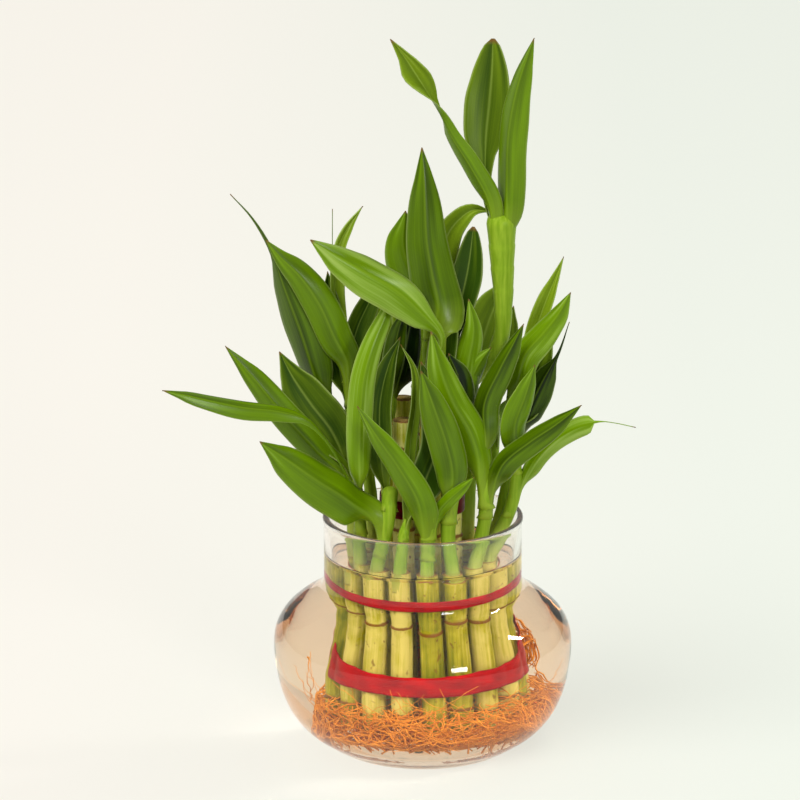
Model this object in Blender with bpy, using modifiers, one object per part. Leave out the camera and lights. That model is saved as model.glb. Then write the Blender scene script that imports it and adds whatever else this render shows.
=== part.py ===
"""Lucky bamboo: two tied rings of rooted canes standing in a clear glass bowl of water.

Lengths in the tables are millimetres. X runs to the right, Y away from the front and Z up,
with Z = 0 on the surface that the bowl stands on and the bowl's axis at X = Y = 0.
"""

import math

import bmesh
import bpy
import numpy as np

MM = 0.001
GAP = 0.3

# Bowl: a squat round body under a straight neck.
BOWL_HEIGHT = 97.0
NECK_RADIUS = 40.0
BODY_RADIUS = 60.4
FOOT_RADIUS = 34.0
NECK_WALL = 2.4
FLOOR = 6.0
WATER_LEVEL = 81.0

# The two tied rings of canes.
OUTER_COUNT = 16
OUTER_RING = 26.2
OUTER_CANE = 4.2
OUTER_FIRST_ANGLE = 3.0
INNER_COUNT = 7
INNER_RING = 12.6
INNER_CANE = 4.3
INNER_FIRST_ANGLE = -38.0
FOOT_SHIFT = 2.0
CANE_FOOT = 16.8
RING_RISE = 0.45

ROOT_TOP = 16.4
ROOT_RADIUS = 41.0
SKIRT_TOP = 26.5
RIBBON_THICK = 0.6
RIBBON_GAP = 0.5
LEAF_THICK = 0.55
SHOOT_RADIUS = 2.7

GLASS = ("clear_glass", (0.86, 0.90, 0.88), 0.05, 0.30)
WATER = ("water", (0.86, 0.78, 0.66), 0.05, 0.35)
ROOT = ("orange_root", (0.58, 0.27, 0.07), 0.85, 1.0)
SATIN = ("red_satin", (0.62, 0.02, 0.03), 0.35, 1.0)
CANE = ("green_cane", (0.42, 0.42, 0.08), 0.45, 1.0)
LEAF = ("leaf_green", (0.12, 0.30, 0.02), 0.40, 1.0)

# Each outer stalk: height of the cut cane top, height of its joint ring, and the shoot's route.
# They run round the ring from the front towards the right.
OUTER_STALKS = [
    (79.0, 51.0, [(2, -27, 93), (3, -28, 108)]),
    (77.5, 56.0, [(10, -25, 94), (11, -25, 115)]),
    (80.5, 53.5, [(23, -18, 92), (25, -18, 104), (24, -17, 118), (23, -14, 130)]),
    (80.0, 57.0, [(30, -9, 91), (35, -9, 102), (37, -10, 114), (36, -11, 132), (34, -11, 153)]),
    (81.0, 54.0, [(31, 1, 94), (34, 0, 110), (37, -1, 128), (40, 0, 152)]),
    (80.0, 52.0, [(26, 13, 96), (29, 17, 122), (29, 20, 140)]),
    (79.0, 55.0, [(19, 22, 98), (21, 26, 124), (20, 29, 148)]),
    (81.0, 51.5, [(9, 27, 98), (10, 31, 120), (9, 34, 136)]),
    (80.0, 54.0, [(-2, 28, 98), (-3, 31, 124), (-2, 32, 152)]),
    (79.5, 53.0, [(-12, 25, 98), (-14, 29, 124), (-14, 31, 142)]),
    (81.0, 55.5, [(-21, 19, 98), (-24, 22, 122), (-25, 24, 136)]),
    (80.0, 52.5, [(-26, 9, 98), (-29, 11, 118), (-31, 12, 132)]),
    (80.5, 54.5, [(-28, -2, 98), (-29, -3, 120), (-29, -4, 142), (-30, -4, 156), (-31, -3, 172)]),
    (79.0, 55.0, [(-25, -12, 92), (-26, -13, 106), (-29, -14, 120)]),
    (78.0, 53.0, [(-16, -21, 91), (-14, -21, 102), (-13, -18, 114)]),
    (80.5, 53.5, [(-8, -25, 92), (-7, -23, 102)]),
]

# Each inner stalk: cane top, joint rings and the route of its shoot, where it has one.
INNER_STALKS = [
    (139.5, (58.0, 94.0, 128.0), []),
    (137.0, (55.0, 92.0, 126.0), [(3, -12, 143), (5, -11, 155), (7, -9, 168), (7, -8, 176)]),
    (138.0, (52.0, 90.0, 124.0), [(12, -5, 143), (12, -5, 154)]),
    (139.0, (57.0, 93.0, 129.0),
     [(14, 6, 144), (23, 7, 154), (31, 7, 168), (33, 7, 184), (32, 7, 200), (31, 7, 214)]),
    (142.0, (54.0, 91.0, 127.0), [(3, 12, 148), (2, 10, 164), (3, 8, 180)]),
    (143.0, (53.0, 95.0, 130.0), []),
    (136.0, (56.0, 93.0, 125.0), [(-13, 1, 142), (-13, 3, 152)]),
]

# Each leaf: its stalk, the height where it leaves it, its width, the way its broad side faces,
# and the points that its midrib then passes, from the lowest to the tip.
FRONT = (0.0, -1.0, 0.25)
LEAVES = {
    "leaf_tall_left": ("inner_stalk_4", 206, 10, (-0.5, -0.9, 0.3),
                       [(26, 3, 225), (19, 2, 239), (10.5, 1, 253), (6, 0, 262), (1, -3, 271),
                        (-7, -6, 285), (-13, -8, 293)]),
    "leaf_tall_back": ("inner_stalk_4", 207, 19, (-0.25, -1.0, 0.1),
                       [(25, 12, 230), (25, 17, 248), (26.4, 20, 262), (27.4, 22, 274),
                        (27.8, 23, 287)]),
    "leaf_tall_right": ("inner_stalk_4", 204, 14, (-0.6, -0.8, 0.1),
                        [(33, 3, 232), (33.5, 0, 254), (37, -3, 274), (43, -6, 293)]),
    "leaf_centre_upright": ("inner_stalk_2", 170, 20, FRONT,
                            [(5.8, -9, 184), (3.4, -8, 199), (1.4, -7, 211), (0.6, -5, 226),
                             (0.2, -3, 237), (-0.6, 0, 248)]),
    "leaf_centre_back_left": ("inner_stalk_5", 174, 18, FRONT,
                              [(-4, 4, 194), (-8, 6, 206), (-7, 10, 220)]),
    "leaf_centre_back_right": ("inner_stalk_5", 173, 12, (0.3, -1.0, 0.5),
                               [(6, 10, 196), (12, 13, 213), (20, 15, 219), (27, 17, 218)]),
    "leaf_centre_right": ("inner_stalk_3", 149, 13, FRONT,
                          [(12, -1, 168), (15, 3, 184), (18, 6, 198), (20, 8, 214)]),
    "leaf_centre_broad": ("inner_stalk_2", 161, 17.5, (-0.2, -0.75, 0.65),
                          [(7, -16, 175), (-1, -20, 186), (-11, -23, 196), (-23, -26, 204),
                           (-34, -28, 211), (-44, -30, 218)]),
    "leaf_left_tall": ("outer_stalk_13", 130, 17, (-0.4, -1.0, 0.2),
                       [(-38, -6, 142), (-43, -7, 156), (-48, -8, 173), (-55, -8, 193),
                        (-61, -8, 210), (-68, -8, 222), (-76, -8, 231)]),
    "leaf_left_folded": ("outer_stalk_13", 169, 6.5, (0.5, -0.9, 0.2),
                         [(-35, 2, 192), (-34, 5, 206), (-30, 8, 214), (-24, 10, 222)]),
    "leaf_left_back": ("outer_stalk_13", 160, 10, (0.2, -1.0, 0.3),
                       [(-26, 4, 174), (-21, 9, 184), (-17, 14, 193)]),
    "leaf_left_upright": ("outer_stalk_14", 108, 10.5, (0.1, -1.0, 0.2),
                          [(-24, -24, 121), (-25, -26, 132), (-24.6, -26, 149),
                           (-23.4, -25, 161), (-20, -22, 173), (-15, -17, 184), (-10, -12, 197)]),
    "leaf_left_middle": ("outer_stalk_14", 107, 12, (-0.2, -1.0, 0.4),
                         [(-43, -19, 130), (-57, -22, 147), (-67, -22, 160), (-78, -22, 173)]),
    "leaf_left_long": ("outer_stalk_14", 99, 8.6, (0.0, -0.8, 0.8),
                       [(-33, -28, 127), (-39, -31, 138), (-46, -33, 146), (-56, -34, 149.5),
                        (-70, -35, 151.5), (-84, -37, 155), (-94, -39, 158), (-102, -40, 160)]),
    "leaf_left_low": ("outer_stalk_15", 94, 18, (0.1, -0.9, 0.5),
                      [(-30, -30, 112), (-42, -36, 122), (-54, -40, 132), (-64, -43, 140)]),
    "leaf_left_dark": ("outer_stalk_14", 118, 19, (0.1, -1.0, 0.1),
                       [(-36, -11, 134), (-45, -12, 147), (-52, -12, 158), (-57, -12, 168)]),
    "leaf_front_narrow": ("outer_stalk_01", 94, 13, (-0.2, -1.0, 0.2),
                          [(-2, -34, 112), (-9, -36, 126), (-18, -38, 140), (-26, -38, 153)]),
    "leaf_front_small": ("outer_stalk_01", 102, 6, (0.0, -0.9, 0.5),
                         [(10, -33, 113), (15, -34, 118), (20, -35, 123)]),
    "leaf_front_centre": ("outer_stalk_02", 108, 14, (0.1, -1.0, 0.1),
                          [(11.5, -31, 124), (8.8, -33, 137), (5, -35, 149), (2, -36, 158),
                           (-1, -37, 167)]),
    "leaf_front_tall": ("outer_stalk_03", 112, 14, (0.2, -1.0, 0.1),
                        [(22, -22, 126), (19, -23, 137), (12, -24, 150), (7, -24, 163),
                         (3, -22, 179)]),
    "leaf_right_silvery": ("outer_stalk_03", 126, 11, (-0.4, -0.9, 0.2),
                           [(24, -17, 147), (30, -18, 162), (35, -18, 172), (39.5, -18, 181)]),
    "leaf_right_broad": ("outer_stalk_04", 148, 12, (-0.2, -0.9, 0.5),
                         [(40, -14, 167), (47, -15, 176), (53, -15, 184), (58, -15, 193)]),
    "leaf_right_narrow": ("outer_stalk_05", 147, 8, (-0.3, -1.0, 0.2),
                          [(45, 3, 172), (49, 5, 184), (53, 6, 194), (56, 7, 202)]),
    "leaf_right_pointed": ("outer_stalk_05", 126, 12, (-0.3, -1.0, 0.1),
                           [(43, -6, 144), (48, -6, 155), (54, -5, 166), (58, -4, 178)]),
    "leaf_right_inner": ("outer_stalk_04", 124, 11, (0.3, -1.0, 0.0),
                         [(36.5, -18, 140), (40, -20, 151), (44, -21, 165)]),
    "leaf_right_dark": ("outer_stalk_03", 108, 10.5, (-0.2, -0.8, 0.5),
                        [(31, -24, 124), (42, -27, 135), (52, -30, 143), (62, -33, 152)]),
    "leaf_right_long": ("outer_stalk_04", 105, 9, (-0.2, -0.8, 0.6),
                        [(46, -14, 126), (54, -17, 135), (63, -20, 140.5), (71, -21, 141.8),
                         (77, -22, 141.3), (84, -23, 140)]),
    "leaf_inner_right": ("inner_stalk_3", 137, 14, (0.2, -1.0, 0.1),
                         [(16, -11, 150), (18, -9, 163), (20, -7, 176), (18, -6, 188)]),
    "leaf_inner_left": ("outer_stalk_15", 111, 11, (-0.2, -1.0, 0.2),
                        [(-17, -14, 132), (-17, -13, 147), (-14, -11, 161), (-9, -8, 173)]),
    "leaf_back": ("outer_stalk_09", 148, 17, (0.0, 1.0, 0.3),
                  [(-4, 40, 168), (-6, 48, 184), (-8, 55, 194)]),
    "leaf_back_right": ("outer_stalk_07", 142, 17, (0.3, 0.9, 0.3),
                        [(25, 39, 160), (31, 47, 174), (37, 53, 182)]),
}


def clear_scene():
    """Remove every object of the scene that the script starts in."""
    for item in list(bpy.data.objects):
        bpy.data.objects.remove(item, do_unlink=True)


def new_material(look):
    """A Principled material from (name, linear colour, roughness, alpha)."""
    name, colour, roughness, alpha = look
    material = bpy.data.materials.new(name)
    material.use_nodes = True
    shader = material.node_tree.nodes["Principled BSDF"]
    shader.inputs["Base Color"].default_value = (*colour, 1.0)
    shader.inputs["Roughness"].default_value = roughness
    shader.inputs["Metallic"].default_value = 0.0
    shader.inputs["Alpha"].default_value = alpha
    return material


def add_object(name, data, material, collection):
    """Link one object that holds the data, with its material."""
    data.materials.append(material)
    item = bpy.data.objects.new(name, data)
    collection.objects.link(item)
    return item


def turned(name, profile, steps, material, collection, closed=False, centre=(0.0, 0.0)):
    """A solid turned about Z from (radius, height) points, outer side from top to bottom."""
    mesh = bpy.data.meshes.new(name)
    shape = bmesh.new()
    points = [shape.verts.new((radius * MM, 0.0, height * MM)) for radius, height in profile]
    for start, end in zip(points, points[1:]):
        shape.edges.new((start, end))
    if closed:
        shape.edges.new((points[-1], points[0]))
    shape.to_mesh(mesh)
    shape.free()
    item = add_object(name, mesh, material, collection)
    item.location = (centre[0] * MM, centre[1] * MM, 0.0)
    screw = item.modifiers.new("turn", "SCREW")
    screw.axis = "Z"
    screw.angle = math.tau
    screw.steps = steps
    screw.render_steps = steps
    screw.use_merge_vertices = True
    screw.merge_threshold = 0.00001
    return item


def smooth_route(points, count):
    """Evenly spaced places on a smooth curve through the points."""
    points = np.array(points, dtype=float)
    run = np.concatenate([[0.0], np.cumsum(np.linalg.norm(np.diff(points, axis=0), axis=1))])
    slope = np.gradient(points, run, axis=0)
    where = np.linspace(0.0, run[-1], count)
    piece = np.clip(np.searchsorted(run, where, side="right") - 1, 0, len(points) - 2)
    length = (run[piece + 1] - run[piece])[:, None]
    t = ((where - run[piece])[:, None]) / length
    ahead = 1.0 - t
    return ((1 + 2 * t) * ahead**2 * points[piece] + t * ahead**2 * length * slope[piece]
            + t**2 * (3 - 2 * t) * points[piece + 1] - t**2 * ahead * length * slope[piece + 1])


def ring_place(radius, angle_deg):
    """The X and Y of a place on a ring, with the angle from the front towards the right."""
    angle = math.radians(angle_deg)
    return np.array([radius * math.sin(angle), -radius * math.cos(angle)])


def stalk_route(spot, radius, top, joints, shoot):
    """Points and radii up one stalk: its cane with raised rings, its cut top and its shoot."""
    def on_axis(height):
        lean = FOOT_SHIFT * max(0.0, 1.0 - (height - CANE_FOOT) / (WATER_LEVEL - CANE_FOOT))
        return (spot[0] + lean, spot[1], height)

    steps = [(CANE_FOOT, radius * 0.94), (CANE_FOOT + 0.6, radius)]
    for height in joints:
        steps += [(height - 1.3, radius), (height, radius + RING_RISE), (height + 1.3, radius)]
    steps += [(top - 0.5, radius), (top, radius * 0.93)]
    route = [(on_axis(height), size) for height, size in steps]
    if shoot:
        start = (*spot, top + 4.0)
        route.append(((*spot, top + 0.1), SHOOT_RADIUS))
        path = smooth_route([start, *shoot], 2 * len(shoot) + 2)
        for share, point in zip(np.linspace(1.0, 0.62, len(path)), path):
            route.append((tuple(point), SHOOT_RADIUS * share))
    return route


def add_stalk(name, route, material, collection):
    """One closed tube that follows the route with its own radius at every point."""
    curve = bpy.data.curves.new(name, "CURVE")
    curve.dimensions = "3D"
    curve.bevel_depth = MM
    curve.bevel_resolution = 2
    curve.use_fill_caps = True
    spline = curve.splines.new("POLY")
    spline.points.add(len(route) - 1)
    for knot, (place, radius) in zip(spline.points, route):
        knot.co = (place[0] * MM, place[1] * MM, place[2] * MM, 1.0)
        knot.radius = radius
    return add_object(name, curve, material, collection)


def stalk_at(route, height):
    """The axis place and the radius of a stalk at a height."""
    heights = [place[2] for place, _ in route]
    axis = [np.interp(height, heights, [place[i] for place, _ in route]) for i in range(3)]
    return np.array(axis), np.interp(height, heights, [radius for _, radius in route])


def unit(vector):
    return np.array(vector, dtype=float) / np.linalg.norm(vector)


def leaf_width(t, width):
    """Width of a lance-shaped blade at a share of its length, from a narrow foot to its tip."""
    blade = width * math.sin(math.pi * min(t, 1.0) ** 0.85) ** 0.8
    return max(min(blade, 9.0 * t + 2.6), 3.0 * (1.0 - t), 0.5)


def add_leaf(name, route, height, width, facing, points, material, collection):
    """A thin curved blade that leaves its stalk a gap away from it and bends to its tip."""
    axis, radius = stalk_at(route, height)
    outward = unit([points[0][0] - axis[0], points[0][1] - axis[1], 0.0])
    foot = axis + outward * (radius + GAP + LEAF_THICK)
    knots = [foot, foot + 0.9 * outward + (0.0, 0.0, 5.0), *points]
    rows = 9
    middle = smooth_route(knots, rows + 1)
    along = np.gradient(middle, axis=0)
    facing = unit(facing)
    foot_facing = outward if np.dot(outward, facing) >= 0.0 else -outward
    mesh = bpy.data.meshes.new(name)
    shape = bmesh.new()
    bmesh.ops.create_grid(shape, x_segments=2, y_segments=rows, size=1.0)
    for vert in shape.verts:
        across = vert.co.x
        share = (vert.co.y + 1.0) / 2.0
        row = round(share * rows)
        turn = min(1.0, share / 0.3)
        normal = foot_facing * (1.0 - turn) + facing * turn
        side = unit(np.cross(along[row], normal))
        lift = unit(np.cross(side, along[row]))
        half = leaf_width(share, width) / 2.0
        cup = 0.22 * turn * half * abs(across)
        vert.co = (middle[row] + side * across * half + lift * cup) * MM
    shape.to_mesh(mesh)
    shape.free()
    item = add_object(name, mesh, material, collection)
    skin = item.modifiers.new("blade", "SOLIDIFY")
    skin.thickness = LEAF_THICK * MM
    skin.offset = 0.0
    return item


def bowl_inside(top):
    """Profile of the bowl's inner surface, from the middle of the floor up to a height."""
    wall = NECK_RADIUS - NECK_WALL
    curve = [(0.0, FLOOR), (26.0, FLOOR), (37.5, 9.0), (46.5, 15.0), (52.5, 23.0), (56.2, 32.0),
             (57.6, 42.0), (57.0, 48.5), (53.8, 54.5), (48.0, 59.0), (41.5, 62.5), (38.3, 66.5),
             (wall, 71.0)]
    return curve + [(wall, top)]


def add_bowl(material, collection):
    """The glass: a flat foot, a round belly, a soft shoulder and a straight neck."""
    inner = bowl_inside(BOWL_HEIGHT - 1.6)
    rim = [(NECK_RADIUS - 2.0, BOWL_HEIGHT - 0.4), (NECK_RADIUS - 1.0, BOWL_HEIGHT),
           (NECK_RADIUS + 0.1, BOWL_HEIGHT - 0.4), (NECK_RADIUS + 0.4, BOWL_HEIGHT - 1.6),
           (NECK_RADIUS, BOWL_HEIGHT - 3.2)]
    outer = [(NECK_RADIUS, 71.0), (41.2, 67.0), (44.5, 64.2), (51.0, 60.0), (56.8, 54.6),
             (59.8, 48.5), (BODY_RADIUS, 42.0), (59.5, 33.0), (57.5, 24.0), (54.0, 16.0),
             (49.0, 9.6), (42.5, 4.6), (37.0, 1.2), (FOOT_RADIUS, 0.0), (0.0, 0.0)]
    turned("glass_bowl", inner + rim + outer, 40, material, collection)


def add_water(material, collection):
    """The water between the tied canes and the glass, from the roots up to its level."""
    sleeve = 33.7
    wall = [(radius - 2.0 * GAP, height) for radius, height in bowl_inside(WATER_LEVEL)[::-1]
            if height > 20.0]
    inside = [(47.0, SKIRT_TOP + 2.0), (sleeve, SKIRT_TOP + 2.0), (sleeve, WATER_LEVEL)]
    turned("water", wall + inside, 32, material, collection, closed=True)


def add_roots(material, collection):
    """The mat of roots: a disc under the canes with a skirt that rises around them."""
    inner = OUTER_RING + OUTER_CANE + 2.0 * GAP
    profile = [(0.0, ROOT_TOP), (inner, ROOT_TOP), (inner, SKIRT_TOP - 0.6),
               (inner + 1.4, SKIRT_TOP), (37.5, 25.5), (40.3, 21.5), (ROOT_RADIUS, 17.0),
               (38.0, 12.6), (32.0, 9.2), (24.0, FLOOR + GAP), (0.0, FLOOR + GAP)]
    turned("root_mat", profile, 24, material, collection, centre=(FOOT_SHIFT, 0.0))


def add_ribbon(name, ring, foot, height, centre, material, collection):
    """One tight band of satin round a ring of canes."""
    inner = ring + RIBBON_GAP
    outer = inner + RIBBON_THICK
    profile = [(outer, foot + height), (outer, foot), (inner, foot), (inner, foot + height)]
    turned(name, profile, 32, material, collection, closed=True, centre=centre)


def main():
    clear_scene()
    parts = bpy.data.collections.new("lucky_bamboo")
    bpy.context.scene.collection.children.link(parts)

    add_bowl(new_material(GLASS), parts)
    add_water(new_material(WATER), parts)
    add_roots(new_material(ROOT), parts)

    satin = new_material(SATIN)
    outer_ring = OUTER_RING + OUTER_CANE
    add_ribbon("ribbon_lower", outer_ring, 30.0, 8.5, (1.5, 0.0), satin, parts)
    add_ribbon("ribbon_upper", outer_ring, 65.0, 5.0, (0.4, 0.0), satin, parts)
    add_ribbon("ribbon_inner", INNER_RING + INNER_CANE, 99.5, 7.0, (0.0, 0.0), satin, parts)

    cane = new_material(CANE)
    routes = {}
    for index, (top, joint, shoot) in enumerate(OUTER_STALKS):
        spot = ring_place(OUTER_RING, OUTER_FIRST_ANGLE + index * 360.0 / OUTER_COUNT)
        route = stalk_route(spot, OUTER_CANE, top, (joint,), shoot)
        routes[f"outer_stalk_{index + 1:02d}"] = route
    for index, (top, joints, shoot) in enumerate(INNER_STALKS):
        spot = ring_place(INNER_RING, INNER_FIRST_ANGLE + index * 360.0 / INNER_COUNT)
        route = stalk_route(spot, INNER_CANE, top, joints, shoot)
        routes[f"inner_stalk_{index + 1}"] = route
    for name, route in routes.items():
        add_stalk(name, route, cane, parts)

    green = new_material(LEAF)
    for name, (stalk, height, width, facing, points) in LEAVES.items():
        add_leaf(name, routes[stalk], height, width, facing, points, green, parts)


main()
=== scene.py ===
"""Lucky bamboo in a glass bowl: the finish of every piece, laid out as a Blender add-on.

Tables are in millimetres. X runs to the right, Y away from the front and Z up, and the bowl's
axis stands at X = Y = 0 on the floor.
"""
import math
import random

import bmesh
import bpy
import numpy as np
from bpy.props import FloatProperty, FloatVectorProperty, IntProperty, PointerProperty
from bpy.types import Operator, Panel, PropertyGroup
from mathutils import Euler, Matrix, Vector


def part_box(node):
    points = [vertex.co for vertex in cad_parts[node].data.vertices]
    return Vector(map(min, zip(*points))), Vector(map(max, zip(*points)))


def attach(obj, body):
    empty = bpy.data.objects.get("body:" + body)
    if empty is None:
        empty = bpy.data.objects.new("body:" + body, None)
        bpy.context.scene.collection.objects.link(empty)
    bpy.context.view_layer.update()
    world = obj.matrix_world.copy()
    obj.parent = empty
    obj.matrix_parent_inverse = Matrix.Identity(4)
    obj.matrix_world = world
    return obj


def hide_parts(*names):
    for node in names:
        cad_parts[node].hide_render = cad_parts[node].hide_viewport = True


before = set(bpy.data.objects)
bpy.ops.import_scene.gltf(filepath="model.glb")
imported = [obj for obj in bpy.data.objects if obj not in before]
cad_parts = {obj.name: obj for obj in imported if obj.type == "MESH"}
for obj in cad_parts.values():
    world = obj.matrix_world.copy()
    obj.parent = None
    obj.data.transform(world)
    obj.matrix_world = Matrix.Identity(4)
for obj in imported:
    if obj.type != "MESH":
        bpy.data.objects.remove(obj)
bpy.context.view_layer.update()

bl_info = {
    "name": "Lucky Bamboo in a Glass Bowl",
    "version": (1, 0, 0),
    "blender": (4, 5, 0),
    "location": "3D View > Sidebar > Bamboo",
    "description": "Tied rings of rooted canes with arching leaves in a clear glass bowl of water",
    "category": "Add Mesh",
}

MM = 0.001
BODY = "root"

OUTER_COUNT = 16
OUTER_RING = 26.2
OUTER_CANE = 4.2
OUTER_FIRST_ANGLE = 3.0
INNER_COUNT = 7
INNER_RING = 12.6
INNER_CANE = 4.3
INNER_FIRST_ANGLE = -38.0
FOOT_SHIFT = 2.0
CANE_FOOT = 16.8
LEAN_END = 81.0
SHOOT_RADIUS = 2.7

# The bowl: its floor inside, its steps round, and how far the water's skin reaches into the glass.
FLOOR_TOP = 6.0
BOWL_STEPS = 144
INTO_GLASS = 0.12
GLASS_IOR = 1.5
WATER_IOR = 1.333
# Seen from the water, glass bends sight only by the ratio of the two.
WET_GLASS_IOR = 1.125

# A leaf wraps its shoot over this length below the place where it leaves it. Its section bends by
# these half-angles, in radians, at the wrapped foot and in the open blade.
SHEATH_LENGTH = 7.0
SHEATH_BEND = 1.9
BLADE_BEND = 0.3
LEAF_ROWS = 36
LEAF_COLUMNS = 10
LEAF_THICKNESS = 0.4

RIBBON_SEGMENTS = 240
RIBBON_ROWS = 8
RIBBON_CREASES = 26
RIBBON_THICKNESS = 0.28

# The tangle of roots: its middle in X, its reach, its top, how far it lies over the glass, and
# how often a strand strays from it.
MAT_MIDDLE = 6.5
MAT_REACH = 38.0
MAT_TOP = 31.0
MAT_LIFT = 6.5
STRAY_EVERY = 32

# The stage: where the camera looks, in metres, the paper's own glow, and the strength of the
# room's light on things and as it is seen.
CAMERA_AIM = (-0.0092, 0.0, 0.1446)
PAPER_GLOW = 0.645
ROOM_LIGHT = 0.43
ROOM_SEEN = 0.95

# Each outer stalk: height of the cut cane top, height of its joint ring, and the shoot's route.
OUTER_STALKS = [
    (79.0, 51.0, [(2, -27, 93), (3, -28, 108)]),
    (77.5, 56.0, [(10, -25, 94), (11, -25, 115)]),
    (80.5, 53.5, [(23, -18, 92), (25, -18, 104), (24, -17, 118), (23, -14, 130)]),
    (80.0, 57.0, [(30, -9, 91), (35, -9, 102), (37, -10, 114), (36, -11, 132), (34, -11, 153)]),
    (81.0, 54.0, [(31, 1, 94), (34, 0, 110), (37, -1, 128), (40, 0, 152)]),
    (80.0, 52.0, [(26, 13, 96), (29, 17, 122), (29, 20, 140)]),
    (79.0, 55.0, [(19, 22, 98), (21, 26, 124), (20, 29, 148)]),
    (81.0, 51.5, [(9, 27, 98), (10, 31, 120), (9, 34, 136)]),
    (80.0, 54.0, [(-2, 28, 98), (-3, 31, 124), (-2, 32, 152)]),
    (79.5, 53.0, [(-12, 25, 98), (-14, 29, 124), (-14, 31, 142)]),
    (81.0, 55.5, [(-21, 19, 98), (-24, 22, 122), (-25, 24, 136)]),
    (80.0, 52.5, [(-26, 9, 98), (-29, 11, 118), (-31, 12, 132)]),
    (80.5, 54.5, [(-28, -2, 98), (-29, -3, 120), (-29, -4, 142), (-30, -4, 156), (-31, -3, 172)]),
    (79.0, 55.0, [(-25, -12, 92), (-26, -13, 106), (-29, -14, 120)]),
    (78.0, 53.0, [(-16, -21, 91), (-14, -21, 102), (-13, -18, 114)]),
    (80.5, 53.5, [(-8, -25, 92), (-7, -23, 102)]),
]

# Each inner stalk: cane top, joint rings and the route of its shoot, where it has one.
INNER_STALKS = [
    (139.5, (58.0, 94.0, 128.0), []),
    (137.0, (55.0, 92.0, 126.0), [(3, -12, 143), (5, -11, 155), (7, -9, 168), (7, -8, 176)]),
    (138.0, (52.0, 90.0, 124.0), [(12, -5, 143), (12, -5, 154)]),
    (139.0, (57.0, 93.0, 129.0),
     [(14, 6, 144), (23, 7, 154), (31, 7, 168), (32, 7, 184), (31.5, 7, 200), (31, 7, 220)]),
    (142.0, (54.0, 91.0, 127.0), [(3, 12, 148), (2, 10, 164), (3, 8, 180)]),
    (143.0, (53.0, 95.0, 130.0), []),
    (136.0, (56.0, 93.0, 125.0), [(-13, 1, 142), (-13, 3, 152)]),
]

# Shoots that swell towards their top into a broad sheath: the radius there.
SWOLLEN = {"inner_stalk_4": 6.2, "outer_stalk_03": 3.6, "outer_stalk_15": 3.4,
           "outer_stalk_02": 3.6, "outer_stalk_01": 3.4}

# How wide a leaf is along its length, as (place from foot to tip, share of its full width).
PROFILES = {
    "lance": ((0, 0.25), (0.12, 0.34), (0.25, 0.62), (0.4, 0.93), (0.52, 1), (0.68, 0.9),
              (0.84, 0.52), (0.94, 0.2), (1, 0.02)),
    "strap": ((0, 0.4), (0.12, 0.5), (0.25, 0.85), (0.4, 1), (0.6, 0.98), (0.78, 0.75),
              (0.9, 0.38), (1, 0.02)),
    "low": ((0, 0.3), (0.1, 0.55), (0.24, 1), (0.4, 0.94), (0.56, 0.84), (0.72, 0.68),
            (0.87, 0.36), (1, 0.02)),
    "blunt": ((0, 0.2), (0.3, 0.2), (0.45, 0.45), (0.62, 0.95), (0.7, 1), (0.82, 0.85),
              (0.92, 0.58), (0.97, 0.36), (1, 0.08)),
    "whip": ((0, 0.25), (0.2, 0.42), (0.36, 0.9), (0.47, 1), (0.6, 0.78), (0.7, 0.36),
             (0.77, 0.12), (0.88, 0.06), (1, 0.02)),
    "stem": ((0, 0.3), (0.12, 0.16), (0.4, 0.13), (0.5, 0.35), (0.62, 0.85), (0.74, 1),
             (0.86, 0.8), (0.95, 0.35), (1, 0.02)),
    "pinch": ((0, 0.7), (0.25, 0.9), (0.42, 0.85), (0.55, 0.62), (0.66, 0.5), (0.74, 0.8),
              (0.82, 1), (0.92, 0.5), (1, 0.04)),
    "petiole": ((0, 0.25), (0.14, 0.12), (0.26, 0.26), (0.4, 0.74), (0.53, 0.97), (0.64, 1),
                (0.8, 0.78), (0.92, 0.38), (1, 0.03)),
    "hair": ((0, 0.4), (0.15, 0.5), (0.35, 0.85), (0.55, 1), (0.7, 0.95), (0.76, 0.7),
             (0.79, 0.12), (0.83, 0.05), (1, 0.02)),
}

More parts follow.
